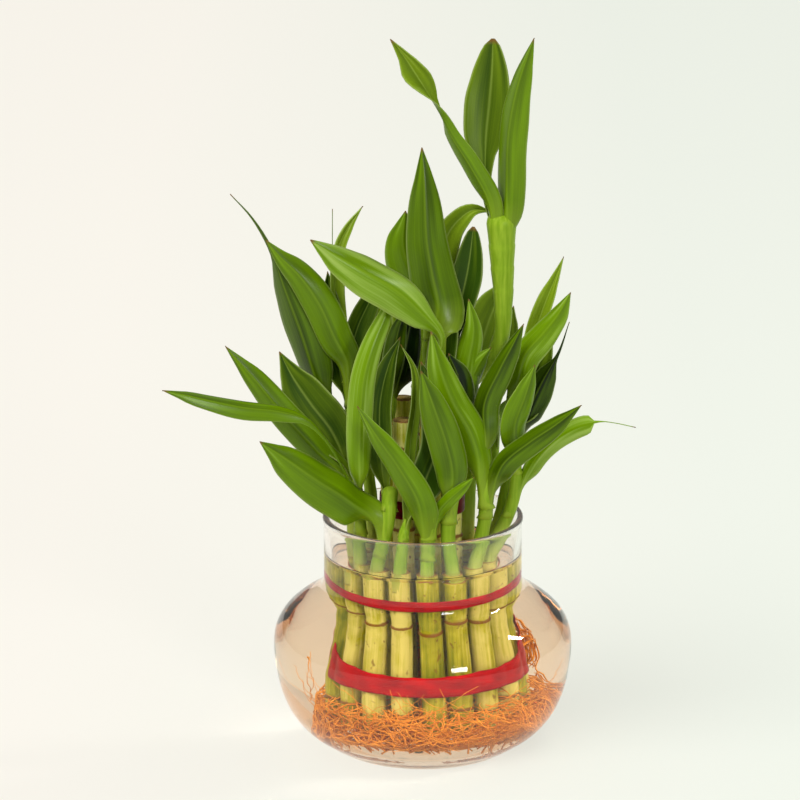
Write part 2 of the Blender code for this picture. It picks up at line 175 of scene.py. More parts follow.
# Each leaf: its stalk, the height where it leaves it, its width, the way its broad side faces, its
# midrib's points up to the tip, its tone from dark (-1) to bright (1), and its profile. The tone is
# partly the leaf's own green and partly painted light and shade: a bright tone paints the light and
# sheen on a leaf in the open, a dark one the shade on a leaf among the others.
FRONT = (0.0, -1.0, 0.25)
LEAVES = {
    "leaf_tall_left": ("inner_stalk_4", 206, 10, (-0.5, -0.9, 0.3),
                       [(26, 3, 225), (19, 2, 239), (10.5, 1, 253), (6, 0, 262), (1, -3, 271),
                        (-7, -6, 285), (-13, -8, 293)], 0.35, "pinch"),
    "leaf_tall_back": ("inner_stalk_4", 207, 19, (-0.25, -1.0, 0.1),
                       [(25, 12, 230), (25, 17, 248), (26.4, 20, 262), (27.4, 22, 274),
                        (27.8, 23, 287)], -0.4, "blunt"),
    "leaf_tall_right": ("inner_stalk_4", 204, 14, (-0.6, -0.8, 0.1),
                        [(33, 3, 232), (33.5, 0, 254), (37, -3, 274), (43, -6, 293)], 0.3, "strap"),
    "leaf_centre_upright": ("inner_stalk_2", 170, 20, FRONT,
                            [(5.8, -9, 184), (3.4, -8, 199), (1.4, -7, 211), (0.6, -5, 226),
                             (0.2, -3, 237), (-0.6, 0, 248)], -0.15, "low"),
    "leaf_centre_back_left": ("inner_stalk_5", 174, 18, FRONT,
                              [(-4, 4, 194), (-8, 6, 206), (-7, 10, 220)], 0.35, "strap"),
    "leaf_centre_back_right": ("inner_stalk_5", 173, 12, (0.3, -1.0, 0.5),
                               [(6, 10, 196), (12, 13, 213), (20, 15, 219), (27, 17, 218)], 0.4,
                               "strap"),
    "leaf_centre_right": ("inner_stalk_3", 149, 13, FRONT,
                          [(12, -1, 168), (15, 3, 184), (18, 6, 198), (20, 8, 214)], -1.1, "blunt"),
    "leaf_centre_broad": ("inner_stalk_2", 161, 17.5, (-0.2, -0.75, 0.65),
                          [(7, -16, 175), (-1, -20, 186), (-11, -23, 196), (-23, -26, 204),
                           (-34, -28, 211), (-44, -30, 218)], 0.85, "petiole"),
    "leaf_left_tall": ("outer_stalk_13", 130, 17, (-0.4, -1.0, 0.2),
                       [(-38, -6, 142), (-43, -7, 156), (-48, -8, 173), (-55, -8, 193),
                        (-61, -8, 210), (-68, -8, 222), (-76, -8, 231)], -0.35, "whip"),
    "leaf_left_folded": ("outer_stalk_13", 169, 6.5, (0.5, -0.9, 0.2),
                         [(-35, 2, 192), (-34, 5, 206), (-30, 8, 214), (-24, 10, 222)], 0.7, "strap"),
    "leaf_left_back": ("outer_stalk_13", 160, 10, (0.2, -1.0, 0.3),
                       [(-26, 4, 174), (-21, 9, 184), (-17, 14, 193)], -0.8, "strap"),
    "leaf_left_upright": ("outer_stalk_14", 106, 10.5, (0.1, -1.0, 0.2),
                          [(-25, -24, 119), (-25.2, -26, 131), (-24.6, -26, 149), (-23.4, -25, 161),
                           (-20, -22, 173), (-15, -17, 184), (-10, -12, 197)], 0.75, "strap"),
    "leaf_left_middle": ("outer_stalk_14", 107, 12, (-0.2, -1.0, 0.4),
                         [(-43, -19, 130), (-57, -22, 147), (-67, -22, 160), (-78, -22, 173)],
                         0.2, "strap"),
    "leaf_left_long": ("outer_stalk_14", 99, 8.6, (0.0, -0.8, 0.8),
                       [(-33, -28, 127), (-39, -31, 138), (-46, -33, 146), (-56, -34, 149.5),
                        (-70, -35, 151.5), (-84, -37, 155), (-94, -39, 158), (-102, -40, 160)],
                       0.25, "stem"),
    "leaf_left_low": ("outer_stalk_15", 94, 18, (0.1, -0.9, 0.5),
                      [(-30, -30, 112), (-42, -36, 122), (-54, -40, 132), (-64, -43, 140)], 0.35,
                      "strap"),
    "leaf_left_dark": ("outer_stalk_14", 118, 19, (0.1, -1.0, 0.1),
                       [(-36, -11, 134), (-45, -12, 147), (-52, -12, 158), (-57, -12, 168)], -0.6,
                       "lance"),
    "leaf_front_narrow": ("outer_stalk_01", 94, 13, (-0.2, -1.0, 0.2),
                          [(-2, -34, 112), (-9, -36, 126), (-18, -38, 140), (-26, -38, 153)], 0.4,
                          "low"),
    "leaf_front_small": ("outer_stalk_01", 102, 6, (0.0, -0.9, 0.5),
                         [(10, -33, 113), (15, -34, 118), (20, -35, 123)], 0.4, "strap"),
    "leaf_front_centre": ("outer_stalk_02", 108, 14, (0.1, -1.0, 0.1),
                          [(11.5, -31, 124), (8.8, -33, 137), (5, -35, 149), (2, -36, 158),
                           (-1, -37, 167)], 0.1, "strap"),
    "leaf_front_tall": ("outer_stalk_03", 112, 14, (0.2, -1.0, 0.1),
                        [(22, -22, 126), (19, -23, 137), (12, -24, 150), (7, -24, 163),
                         (3, -22, 179)], 0.55, "strap"),
    "leaf_right_silvery": ("outer_stalk_03", 126, 11, (-0.4, -0.9, 0.2),
                           [(24, -17, 147), (30, -18, 162), (35, -18, 172), (39.5, -18, 181)], -0.35,
                           "strap"),
    "leaf_right_broad": ("outer_stalk_04", 148, 12, (-0.2, -0.9, 0.5),
                         [(40, -14, 167), (47, -15, 176), (53, -15, 184), (58, -15, 193)], 0.6,
                         "strap"),
    "leaf_right_narrow": ("outer_stalk_05", 147, 8, (-0.3, -1.0, 0.2),
                          [(45, 3, 172), (49, 5, 184), (53, 6, 194), (56, 7, 202)], 0.5, "lance"),
    "leaf_right_pointed": ("outer_stalk_05", 126, 12, (-0.3, -1.0, 0.1),
                           [(43, -6, 144), (48, -6, 155), (54, -5, 166), (58, -4, 178)], -0.8,
                           "whip"),
    "leaf_right_inner": ("outer_stalk_04", 124, 11, (0.3, -1.0, 0.0),
                         [(36.5, -18, 140), (40, -20, 151), (44, -21, 165)], 0.35, "strap"),
    "leaf_right_dark": ("outer_stalk_03", 108, 10.5, (-0.2, -0.8, 0.5),
                        [(31, -24, 124), (42, -27, 135), (52, -30, 143), (62, -33, 152)], -0.3,
                        "strap"),
    "leaf_right_long": ("outer_stalk_04", 105, 9, (-0.2, -0.8, 0.6),
                        [(46, -14, 126), (54, -17, 135), (63, -20, 140.5), (71, -21, 141.8),
                         (77, -22, 141.3), (84, -23, 140)], 0.9, "hair"),
    "leaf_inner_right": ("inner_stalk_3", 137, 14, (0.2, -1.0, 0.1),
                         [(16, -11, 150), (18, -9, 163), (20, -7, 176), (18, -6, 188)], 0.6, "low"),
    "leaf_inner_left": ("outer_stalk_15", 111, 11, (-0.2, -1.0, 0.2),
                        [(-17, -14, 132), (-17, -13, 147), (-14, -11, 161), (-9, -8, 173)], -0.8,
                        "strap"),
    "leaf_back": ("outer_stalk_09", 148, 17, (0.0, 1.0, 0.3),
                  [(-4, 40, 168), (-6, 48, 184), (-8, 55, 194)], 0.3, "strap"),
    "leaf_back_right": ("outer_stalk_07", 142, 17, (0.3, 0.9, 0.3),
                        [(25, 39, 160), (31, 47, 174), (37, 53, 182)], 0.0, "lance"),
}

# Leaves whose outer half is turned over, with the turn in degrees.
TWISTED = {"leaf_tall_left": 165.0}

# Leaves deep inside and on the far side that the solids leave out, in the same form. The very dark tones
# of those deep inside are partly painted shade, the shade that falls between the canes and the other
# leaves.
MORE_LEAVES = {
    "leaf_inner_dark": ("inner_stalk_7", 146, 13, (0.0, -1.0, 0.0),
                        [(-8, -2, 160), (-6, -2, 172), (-3, 0, 184)], -1.2, "strap"),
    "leaf_inner_curl": ("inner_stalk_7", 148, 9, (0.0, -1.0, 0.3),
                        [(-12, -4, 162), (-10, -5, 174), (-7, -6, 184)], -0.5, "strap"),
    "leaf_inner_slim": ("outer_stalk_16", 101, 5, (0.2, -1.0, 0.1),
                        [(-6, -20, 118), (-5, -19, 134), (-3, -19, 150), (-4, -18, 163),
                         (-9, -16, 172)], -0.2, "strap"),
    "leaf_inner_front": ("outer_stalk_16", 100, 15, (0.1, -1.0, 0.0),
                         [(1, -21, 118), (6, -21, 134), (4, -20, 150), (-1, -19, 166)], -1.1,
                         "strap"),
    "leaf_inner_behind": ("inner_stalk_2", 150, 12, (0.0, -1.0, 0.0),
                          [(7, -6, 164), (9, -5, 178), (10, -4, 190)], -1.0, "strap"),
    "leaf_inner_low": ("inner_stalk_2", 142, 13, (0.1, -1.0, 0.0),
                       [(13, -13, 146), (14, -15, 157), (10, -15, 168)], -0.9, "strap"),
    "leaf_right_second": ("inner_stalk_3", 141, 10, (0.3, -1.0, 0.1),
                          [(19, -8, 155), (23, -7, 163), (27, -6, 168)], 0.5, "strap"),
    "leaf_right_shaded": ("outer_stalk_05", 134, 13, (-0.2, -1.0, 0.2),
                          [(43, 0, 150), (47, 1, 162), (52, 2, 173)], -0.4, "strap"),
    "leaf_left_shaded": ("outer_stalk_13", 146, 11, (0.1, -1.0, 0.1),
                         [(-35, 0, 166), (-37, 2, 182), (-38, 3, 197)], -1.0, "strap"),
    "leaf_left_front": ("outer_stalk_13", 150, 14, (-0.1, -1.0, 0.2),
                        [(-30, -9, 162), (-35, -11, 173), (-41, -12, 187), (-49, -12, 199),
                         (-57, -11, 207), (-62, -10, 213)], 0.25, "strap"),
    "leaf_left_spike": ("outer_stalk_13", 170, 2.6, (0.1, -1.0, 0.1),
                        [(-35, 3, 190), (-36, 4, 206), (-36, 5, 222)], -0.4, "whip"),
    "leaf_far_right_low": ("outer_stalk_06", 118, 13, (0.8, 0.3, 0.4),
                           [(38, 27, 134), (47, 33, 145), (53, 38, 152)], 0.1, "strap"),
    "leaf_far_right": ("outer_stalk_06", 138, 12, (0.3, 0.8, 0.2),
                       [(32, 26, 154), (35, 31, 165), (37, 36, 174)], -0.3, "strap"),
    "leaf_far_middle": ("outer_stalk_08", 112, 14, (0.1, 1.0, 0.3),
                        [(12, 42, 128), (15, 50, 143), (17, 57, 155)], 0.4, "strap"),
    "leaf_far_middle_top": ("outer_stalk_08", 132, 13, (-0.2, 1.0, 0.2),
                            [(9, 38, 152), (8, 40, 168), (6, 42, 180)], -0.1, "lance"),
    "leaf_far_left_top": ("outer_stalk_10", 138, 14, (-0.2, 1.0, 0.2),
                          [(-15, 36, 158), (-19, 41, 172), (-22, 45, 184)], 0.0, "strap"),
    "leaf_far_left": ("outer_stalk_10", 116, 14, (-0.1, 1.0, 0.4),
                      [(-17, 38, 132), (-19, 48, 146), (-20, 56, 154)], 0.3, "strap"),
    "leaf_far_left_side": ("outer_stalk_11", 130, 13, (-0.7, 0.7, 0.3),
                           [(-33, 30, 146), (-39, 36, 158), (-44, 41, 166)], 0.2, "strap"),
    "leaf_far_left_low": ("outer_stalk_12", 110, 12, (-0.8, 0.4, 0.5),
                          [(-38, 17, 126), (-47, 22, 136), (-55, 27, 141)], 0.4, "lance"),
}


def hex_colour(text):
    """Linear colour with full alpha from an sRGB hex value."""
    parts = [int(text[i:i + 2], 16) / 255.0 for i in (1, 3, 5)]
    linear = [part / 12.92 if part <= 0.04045 else ((part + 0.055) / 1.055) ** 2.4 for part in parts]
    return (*linear, 1.0)


class BowlSettings(PropertyGroup):
    """Sizes and colours of the glass bowl and its water."""
    rim_height: FloatProperty(name="Rim height", description="Height of the bowl's rim",
                              default=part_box("glass_bowl")[1][2], unit="LENGTH")
    neck_radius: FloatProperty(name="Neck radius", description="Outer radius of the straight neck",
                               default=0.040, unit="LENGTH")
    neck_wall: FloatProperty(name="Neck wall", description="Thickness of the glass at the neck",
                             default=0.0024, unit="LENGTH")
    water_level: FloatProperty(name="Water level", description="Height of the water's surface",
                               default=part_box("water")[1][2], unit="LENGTH")
    glass_tint: FloatVectorProperty(name="Glass tint", description="Colour that the glass lets through",
                                    default=hex_colour("#fcf9f4"), size=4, subtype="COLOR")
    water_tint: FloatVectorProperty(name="Water tint", description="Colour that the water lets through",
                                    default=hex_colour("#f6dcc2"), size=4, subtype="COLOR")


class PlantSettings(PropertyGroup):
    """Colours and counts of the canes, leaves, roots and ribbons."""
    # The bright and dark greens are not set by a leaf's age: they are the two ends of its tone, which is
    # partly painted light and shade.
    leaf_bright: FloatVectorProperty(name="Bright leaf", description="Upper face of a young leaf",
                                     default=hex_colour("#6f9400"), size=4, subtype="COLOR")
    leaf_dark: FloatVectorProperty(name="Dark leaf", description="Upper face of an old leaf",
                                   default=hex_colour("#091b00"), size=4, subtype="COLOR")
    cane: FloatVectorProperty(name="Cane", description="Bark of the cut canes",
                              default=hex_colour("#b5b52e"), size=4, subtype="COLOR")
    root: FloatVectorProperty(name="Root", description="Skin of the roots",
                              default=hex_colour("#f7a93c"), size=4, subtype="COLOR")
    ribbon: FloatVectorProperty(name="Ribbon", description="Satin of the ribbons",
                                default=hex_colour("#c90d16"), size=4, subtype="COLOR")
    root_count: IntProperty(name="Roots", description="Number of root strands", default=1000)


class StageSettings(PropertyGroup):
    """Camera, floor and light."""
    lens: FloatProperty(name="Lens", description="Focal length in millimetres", default=200.0)
    view_width: FloatProperty(name="View width", description="Width that the camera sees at the plant",
                              default=0.320, unit="LENGTH")
    elevation: FloatProperty(name="Elevation", description="Height of the view above level",
                             default=math.radians(16.0), unit="ROTATION")
    floor_left: FloatVectorProperty(name="Floor left", description="Floor colour on the left",
                                    default=hex_colour("#fbf7ee"), size=4, subtype="COLOR")
    floor_right: FloatVectorProperty(name="Floor right", description="Floor colour on the right",
                                     default=hex_colour("#eff3e9"), size=4, subtype="COLOR")


# ---------------------------------------------------------------- shared shape helpers

def smooth_route(points, count):
    """Evenly spaced places on a smooth curve through the points."""
    points = np.array(points, dtype=float)
    run = np.concatenate([[0.0], np.cumsum(np.linalg.norm(np.diff(points, axis=0), axis=1))])
    slope = np.gradient(points, run, axis=0)
    where = np.linspace(0.0, run[-1], count)
    piece = np.clip(np.searchsorted(run, where, side="right") - 1, 0, len(points) - 2)
    length = (run[piece + 1] - run[piece])[:, None]
    t = ((where - run[piece])[:, None]) / length
    ahead = 1.0 - t
    return ((1 + 2 * t) * ahead**2 * points[piece] + t * ahead**2 * length * slope[piece]
            + t**2 * (3 - 2 * t) * points[piece + 1] - t**2 * ahead * length * slope[piece + 1])


def unit(vector):
    """The vector at a length of one."""
    return np.array(vector, dtype=float) / np.linalg.norm(vector)


def finish_piece(name, shape, materials, nodes):
    """Turn a bmesh in millimetres into a smooth piece that stands for CAD nodes."""
    if not shape.faces:
        raise RuntimeError(f"{name} came out without faces")
    mesh = bpy.data.meshes.new(name)
    bmesh.ops.scale(shape, vec=(MM, MM, MM), verts=shape.verts)
    shape.to_mesh(mesh)
    shape.free()
    mesh.shade_smooth()
    for material in materials:
        mesh.materials.append(material)
    piece = bpy.data.objects.new(name, mesh)
    bpy.context.scene.collection.objects.link(piece)
    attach(piece, BODY)
    if nodes:
        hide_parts(*nodes)
    return piece


def turn_profile(shape, profile, steps):
    """Spin (radius, height) points about Z into a closed solid."""
    points = [shape.verts.new((radius, 0.0, height)) for radius, height in profile]
    edges = [shape.edges.new(pair) for pair in zip(points, points[1:])]
    bmesh.ops.spin(shape, geom=points + edges, cent=(0, 0, 0), axis=(0, 0, 1), angle=math.tau,
                   steps=steps, use_merge=True)
    bmesh.ops.remove_doubles(shape, verts=shape.verts, dist=0.001)
    bmesh.ops.dissolve_degenerate(shape, dist=0.0005, edges=shape.edges)
    bmesh.ops.recalc_face_normals(shape, faces=shape.faces)


def ring_frames(places):
    """A matrix at each place that carries a ring along the route without twisting it."""
    along = np.gradient(np.array(places, dtype=float), axis=0)
    frames = []
    side = Vector((1.0, 0.0, 0.0))
    for place, direction in zip(places, along):
        ahead = Vector(direction).normalized()
        side = (side - side.dot(ahead) * ahead).normalized()
        across = ahead.cross(side)
        matrix = Matrix((side, across, ahead)).transposed().to_4x4()
        matrix.translation = Vector(place)
        frames.append(matrix)
    return frames


def sweep(shape, places, radii, sides, marks=None):
    """Extrude a ring of points along a route, with a radius and marks at every place."""
    layers = {name: shape.verts.layers.float.get(name) or shape.verts.layers.float.new(name)
              for name in (marks or {})}
    frames = ring_frames(places)
    made = bmesh.ops.create_circle(shape, cap_ends=True, segments=sides, radius=1.0)["verts"]
    edges = list({edge for vert in made for edge in vert.link_edges})
    before = Matrix.Identity(4)
    for index, (matrix, radius) in enumerate(zip(frames, radii)):
        if index:
            geometry = bmesh.ops.extrude_edge_only(shape, edges=edges)["geom"]
            made = [part for part in geometry if isinstance(part, bmesh.types.BMVert)]
            edges = [part for part in geometry if isinstance(part, bmesh.types.BMEdge)
                     and part.verts[0] in made and part.verts[1] in made]
        now = matrix @ Matrix.Diagonal((radius, radius, 1.0, 1.0))
        bmesh.ops.transform(shape, matrix=now @ before.inverted(), verts=made)
        before = now
        for name, layer in layers.items():
            for vert in made:
                vert[layer] = marks[name][index]
    bmesh.ops.contextual_create(shape, geom=edges)


def add_node(tree, kind, inputs=None, stops=None, **settings):
    """Add a node with its settings; an input that is given a socket is linked to it."""
    node = tree.nodes.new(kind)
    for name, value in settings.items():
        setattr(node, name, value)
    for key, value in (inputs or {}).items():
        if isinstance(value, bpy.types.NodeSocket):
            tree.links.new(value, node.inputs[key])
        else:
            node.inputs[key].default_value = value
    if stops:
        ramp = node.color_ramp
        while len(ramp.elements) < len(stops):
            ramp.elements.new(1.0)
        for element, (position, colour) in zip(ramp.elements, stops):
            element.position = position
            element.color = colour
    return node


def start_material(name):
    """An empty node material with its Principled shader and output."""
    material = bpy.data.materials.new(name)
    material.use_nodes = True
    tree = material.node_tree
    tree.nodes.clear()
    shader = add_node(tree, "ShaderNodeBsdfPrincipled")
    output = add_node(tree, "ShaderNodeOutputMaterial", {"Surface": shader.outputs[0]})
    return material, tree, shader, output


def lay_colours(tree, colour, layers):
    """The colour socket after each (share, colour) layer is laid over a first colour."""
    for share, layer in layers:
        colour = add_node(tree, "ShaderNodeMix", {0: share, 6: colour, 7: layer},
                          data_type="RGBA").outputs[2]
    return colour


def clear_material(name, tint, ior, wave_mm, wave_depth):
    """Glass or water with faint waves: it bends sight, and lets the lamps' light straight through."""
    material, tree, shader, output = start_material(name)
    shader.inputs["Base Color"].default_value = tint
    shader.inputs["Roughness"].default_value = 0.0
    shader.inputs["IOR"].default_value = ior
    shader.inputs["Transmission Weight"].default_value = 1.0
    place = add_node(tree, "ShaderNodeTexCoord").outputs["Object"]
    waves = add_node(tree, "ShaderNodeTexNoise", {"Vector": place, "Scale": 1.0 / (wave_mm * MM),
                                                  "Detail": 1.0})
    bump = add_node(tree, "ShaderNodeBump", {"Strength": 1.0, "Distance": wave_depth * MM,
                                             "Height": waves.outputs[0]})
    tree.links.new(bump.outputs[0], shader.inputs["Normal"])
    shadow = add_node(tree, "ShaderNodeBsdfTransparent")
    path = add_node(tree, "ShaderNodeLightPath")
    mix = add_node(tree, "ShaderNodeMixShader", {0: path.outputs["Is Shadow Ray"],
                                                 1: shader.outputs[0], 2: shadow.outputs[0]})
    tree.links.new(mix.outputs[0], output.inputs["Surface"])
    return material


def leaf_material(name, bright, dark, under):
    """Waxy leaf: fine parallel veins, a pale margin, a pale foot and a dry tip, with painted light and
    shade in its green.
    """
    material, tree, shader, _ = start_material(name)
    place = add_node(tree, "ShaderNodeTexCoord")
    split = add_node(tree, "ShaderNodeSeparateXYZ", {0: place.outputs["UV"]})
    across, along = split.outputs[0], split.outputs[1]
    tone = add_node(tree, "ShaderNodeAttribute", attribute_name="tone").outputs["Fac"]

    # Veins run the length of the blade, about 0.5 mm apart on a broad leaf.
    vein_place = add_node(tree, "ShaderNodeCombineXYZ", {0: across, 1: along})
    vein_scale = add_node(tree, "ShaderNodeMapping", {0: vein_place.outputs[0],
                                                      "Scale": (34.0, 1.1, 1.0)})
    veins = add_node(tree, "ShaderNodeTexNoise", {"Vector": vein_scale.outputs[0], "Scale": 1.0,
                                                  "Detail": 2.0}).outputs[0]
    patch_scale = add_node(tree, "ShaderNodeMapping", {0: vein_place.outputs[0],
                                                       "Scale": (3.2, 1.6, 1.0)})
    patches = add_node(tree, "ShaderNodeTexNoise", {"Vector": patch_scale.outputs[0], "Scale": 1.0,
                                                    "Detail": 1.0}).outputs[0]
    off_middle = add_node(tree, "ShaderNodeMath", {0: across, 1: 0.5}, operation="SUBTRACT")
    off_middle = add_node(tree, "ShaderNodeMath", {0: off_middle.outputs[0]},
                          operation="ABSOLUTE").outputs[0]

    # How bright the green is: the leaf's tone, partly painted light and shade, then patches, veins and
    # paler sides, which are a painted highlight towards the edges and painted shade along the midrib.
    level = add_node(tree, "ShaderNodeMath", {0: tone, 1: 0.46, 2: 0.46},
                     operation="MULTIPLY_ADD").outputs[0]
    for source, share in ((patches, 1.05), (veins, 0.34), (off_middle, 0.22)):
        level = add_node(tree, "ShaderNodeMath", {0: source, 1: share, 2: level},
                         operation="MULTIPLY_ADD").outputs[0]
    level = add_node(tree, "ShaderNodeMath", {0: level, 1: 0.72}, operation="SUBTRACT").outputs[0]

    # Each layer: what it follows, where it begins and is full, its share and its colour. They are a
    # painted pale sheen where the green is brightest, the paler midrib (palest below), the pale margin,
    # which is partly a painted highlight along the edge, the pale foot, and the dry tip.
    rib_colour = "#a9bf57" if under else "#7f9c24"
    layers = [(level, bright)]
    for source, begins, full, share, colour in (
            # The first layer is painted sheen: pale grey-green laid over the brightest green.
            (level, 0.8, 1.35, 0.7, "#bccd7c"), (off_middle, 0.045, 0.005, 0.28, rib_colour),
            # The pale margin is partly the leaf's own pale edge and partly a painted highlight along it.
            (off_middle, 0.455, 0.495, 0.32, "#bccb7c"), (along, 0.30, 0.0, 0.8, "#93ab2c"),
            (along, 0.972, 0.992, 1.0, "#6e5328")):
        amount = add_node(tree, "ShaderNodeMapRange", {0: source, 1: begins, 2: full, 3: 0.0,
                                                       4: share}).outputs[0]
        layers.append((amount, hex_colour(colour)))
    green = lay_colours(tree, dark, layers)
    tree.links.new(green, shader.inputs["Base Color"])

    shader.inputs["Roughness"].default_value = 0.36 if not under else 0.5
    shader.inputs["Specular IOR Level"].default_value = 0.08
    shader.inputs["Coat Weight"].default_value = 0.05 if under else 0.22
    shader.inputs["Coat Roughness"].default_value = 0.25
    bump = add_node(tree, "ShaderNodeBump", {"Strength": 0.55, "Distance": 0.12 * MM,
                                             "Height": veins})
    tree.links.new(bump.outputs[0], shader.inputs["Normal"])
    return material


def cane_material(bark):
    """Cut cane: waxy yellow-green bark, brown ring scars, tan cut ends and fresh green shoots."""
    material, tree, shader, _ = start_material("dracaena_cane")
    place = add_node(tree, "ShaderNodeTexCoord").outputs["Object"]
    # Streaks about 1.1 mm wide and 22 mm long, blotches of 9 mm and spots of 2.4 mm.
    streak_place = add_node(tree, "ShaderNodeMapping", {0: place, "Scale": (900.0, 900.0, 45.0)})
    streaks = add_node(tree, "ShaderNodeTexNoise", {"Vector": streak_place.outputs[0], "Scale": 1.0,
                                                    "Detail": 3.0}).outputs[0]
    blotches = add_node(tree, "ShaderNodeTexNoise", {"Vector": place, "Scale": 110.0,
                                                     "Detail": 3.0}).outputs[0]
    tone = add_node(tree, "ShaderNodeAttribute", attribute_name="tone").outputs["Fac"]
    ring = add_node(tree, "ShaderNodeAttribute", attribute_name="ring").outputs["Fac"]
    cut = add_node(tree, "ShaderNodeAttribute", attribute_name="cut").outputs["Fac"]
    shoot = add_node(tree, "ShaderNodeAttribute", attribute_name="shoot").outputs["Fac"]

    level = add_node(tree, "ShaderNodeMath", {0: streaks, 1: 0.7, 2: tone}, operation="MULTIPLY_ADD")
    level = add_node(tree, "ShaderNodeMath", {0: blotches, 1: 0.8, 2: level.outputs[0]},
                     operation="MULTIPLY_ADD")
    shades = add_node(tree, "ShaderNodeValToRGB", {0: level.outputs[0]},
                      stops=[(0.34, hex_colour("#6f7d0c")), (0.66, bark), (0.92, hex_colour("#dcd978"))])
    spots = add_node(tree, "ShaderNodeTexNoise", {"Vector": place, "Scale": 420.0,
                                                  "Detail": 1.0}).outputs[0]
    spots = add_node(tree, "ShaderNodeMapRange", {0: spots, 1: 0.66, 2: 0.74, 3: 0.0, 4: 0.7})
    green = add_node(tree, "ShaderNodeValToRGB", {0: streaks},
                     stops=[(0.3, hex_colour("#6f9012")), (0.75, hex_colour("#8fab2c"))])
    ragged = add_node(tree, "ShaderNodeMath", {0: streaks, 1: 0.6, 2: ring}, operation="MULTIPLY_ADD")
    ragged = add_node(tree, "ShaderNodeMapRange", {0: ragged.outputs[0], 1: 0.75, 2: 1.05,
                                                   3: 0.0, 4: 0.92})
    fibres = add_node(tree, "ShaderNodeTexVoronoi", {"Vector": place, "Scale": 1600.0})
    pith = add_node(tree, "ShaderNodeValToRGB", {0: fibres.outputs["Distance"]},
                    stops=[(0.1, hex_colour("#8b5a28")), (0.5, hex_colour("#c79a5c"))])
    colour = lay_colours(tree, shades.outputs[0], [
        (spots.outputs[0], hex_colour("#7a5520")), (shoot, green.outputs[0]),
        (ragged.outputs[0], hex_colour("#7b4a1e")), (cut, pith.outputs[0])])
    tree.links.new(colour, shader.inputs["Base Color"])
    shader.inputs["Roughness"].default_value = 0.40
    shader.inputs["Specular IOR Level"].default_value = 0.12
    height = add_node(tree, "ShaderNodeMath", {0: streaks, 1: blotches}, operation="ADD")
    bump = add_node(tree, "ShaderNodeBump", {"Strength": 0.5, "Distance": 0.25 * MM,
                                             "Height": height.outputs[0]})
    tree.links.new(bump.outputs[0], shader.inputs["Normal"])
    return material


def root_material(name, colour, shade):
    """Root skin: dull orange with darker stretches along it."""
    material, tree, shader, _ = start_material(name)
    place = add_node(tree, "ShaderNodeTexCoord").outputs["Object"]
    # Stretches of colour about 6 mm long.
    stretch = add_node(tree, "ShaderNodeTexNoise", {"Vector": place, "Scale": 160.0,
                                                    "Detail": 2.0}).outputs[0]
    ramp = add_node(tree, "ShaderNodeValToRGB", {0: stretch}, stops=[(0.35, shade), (0.65, colour)])
    tree.links.new(ramp.outputs[0], shader.inputs["Base Color"])
    shader.inputs["Roughness"].default_value = 0.6
    shader.inputs["Specular IOR Level"].default_value = 0.08
    return material


def satin_material(name, colour, shade_colour):
    """Polyester satin: long floats across the band that shine, and a fine weave."""
    material, tree, shader, _ = start_material(name)
    place = add_node(tree, "ShaderNodeTexCoord").outputs["UV"]
    # Threads 0.25 mm apart; a real satin's are finer than the render can show.
    thread_place = add_node(tree, "ShaderNodeMapping", {0: place, "Scale": (1.0, 4000.0, 1.0)})
    threads = add_node(tree, "ShaderNodeTexNoise", {"Vector": thread_place.outputs[0], "Scale": 1.0,
                                                    "Detail": 2.0}).outputs[0]
    folds_place = add_node(tree, "ShaderNodeMapping", {0: place, "Scale": (120.0, 420.0, 1.0)})
    folds = add_node(tree, "ShaderNodeTexNoise", {"Vector": folds_place.outputs[0], "Scale": 1.0,
                                                  "Detail": 2.0}).outputs[0]
    # The red falls to shade_colour where the fold noise is low: painted shade in the satin's folds; the
    # thread noise adds fine lengthwise streaks of it.
    shade = add_node(tree, "ShaderNodeMath", {0: threads, 1: 0.4, 2: folds}, operation="MULTIPLY_ADD")
    ramp = add_node(tree, "ShaderNodeValToRGB", {0: shade.outputs[0]},
                    stops=[(0.5, shade_colour), (0.95, colour)])
    tree.links.new(ramp.outputs[0], shader.inputs["Base Color"])
    shader.inputs["Roughness"].default_value = 0.34
    shader.inputs["Specular IOR Level"].default_value = 0.15
    shader.inputs["Specular Tint"].default_value = hex_colour("#ff8a8a")
    bump = add_node(tree, "ShaderNodeBump", {"Strength": 0.6, "Distance": 0.3 * MM, "Height": folds})
    tree.links.new(bump.outputs[0], shader.inputs["Normal"])
    return material


# ---------------------------------------------------------------- bowl and water

def inner_wall(neck, top):
    """(radius, height) points of the glass's inner surface from the floor's edge to a height."""
    return [(26.0, FLOOR_TOP), (37.5, 9.0), (46.5, 15.0), (52.5, 23.0), (56.2, 32.0), (57.6, 42.0),
            (57.0, 48.5), (53.8, 54.5), (48.0, 59.0), (41.5, 62.5), (38.3, 66.5), (neck, 71.0),
            (neck, top)]


def outer_wall(neck):
    """(radius, height) points of the glass's outer surface from the neck down to the foot."""
    return [(neck, 71.0), (41.2, 67.0), (44.5, 64.2), (51.0, 60.0), (56.8, 54.6), (59.8, 48.5),
            (60.4, 42.0), (59.5, 33.0), (57.5, 24.0), (54.0, 16.0), (49.0, 9.6), (42.5, 4.6),
            (37.0, 1.2), (34.0, 0.0)]


def smooth_outline(points, count):
    """The outline through (radius, height) points, as a smooth run of them."""
    run = smooth_route([(radius, 0.0, height) for radius, height in points], count)
    return [(place[0], place[2]) for place in run]


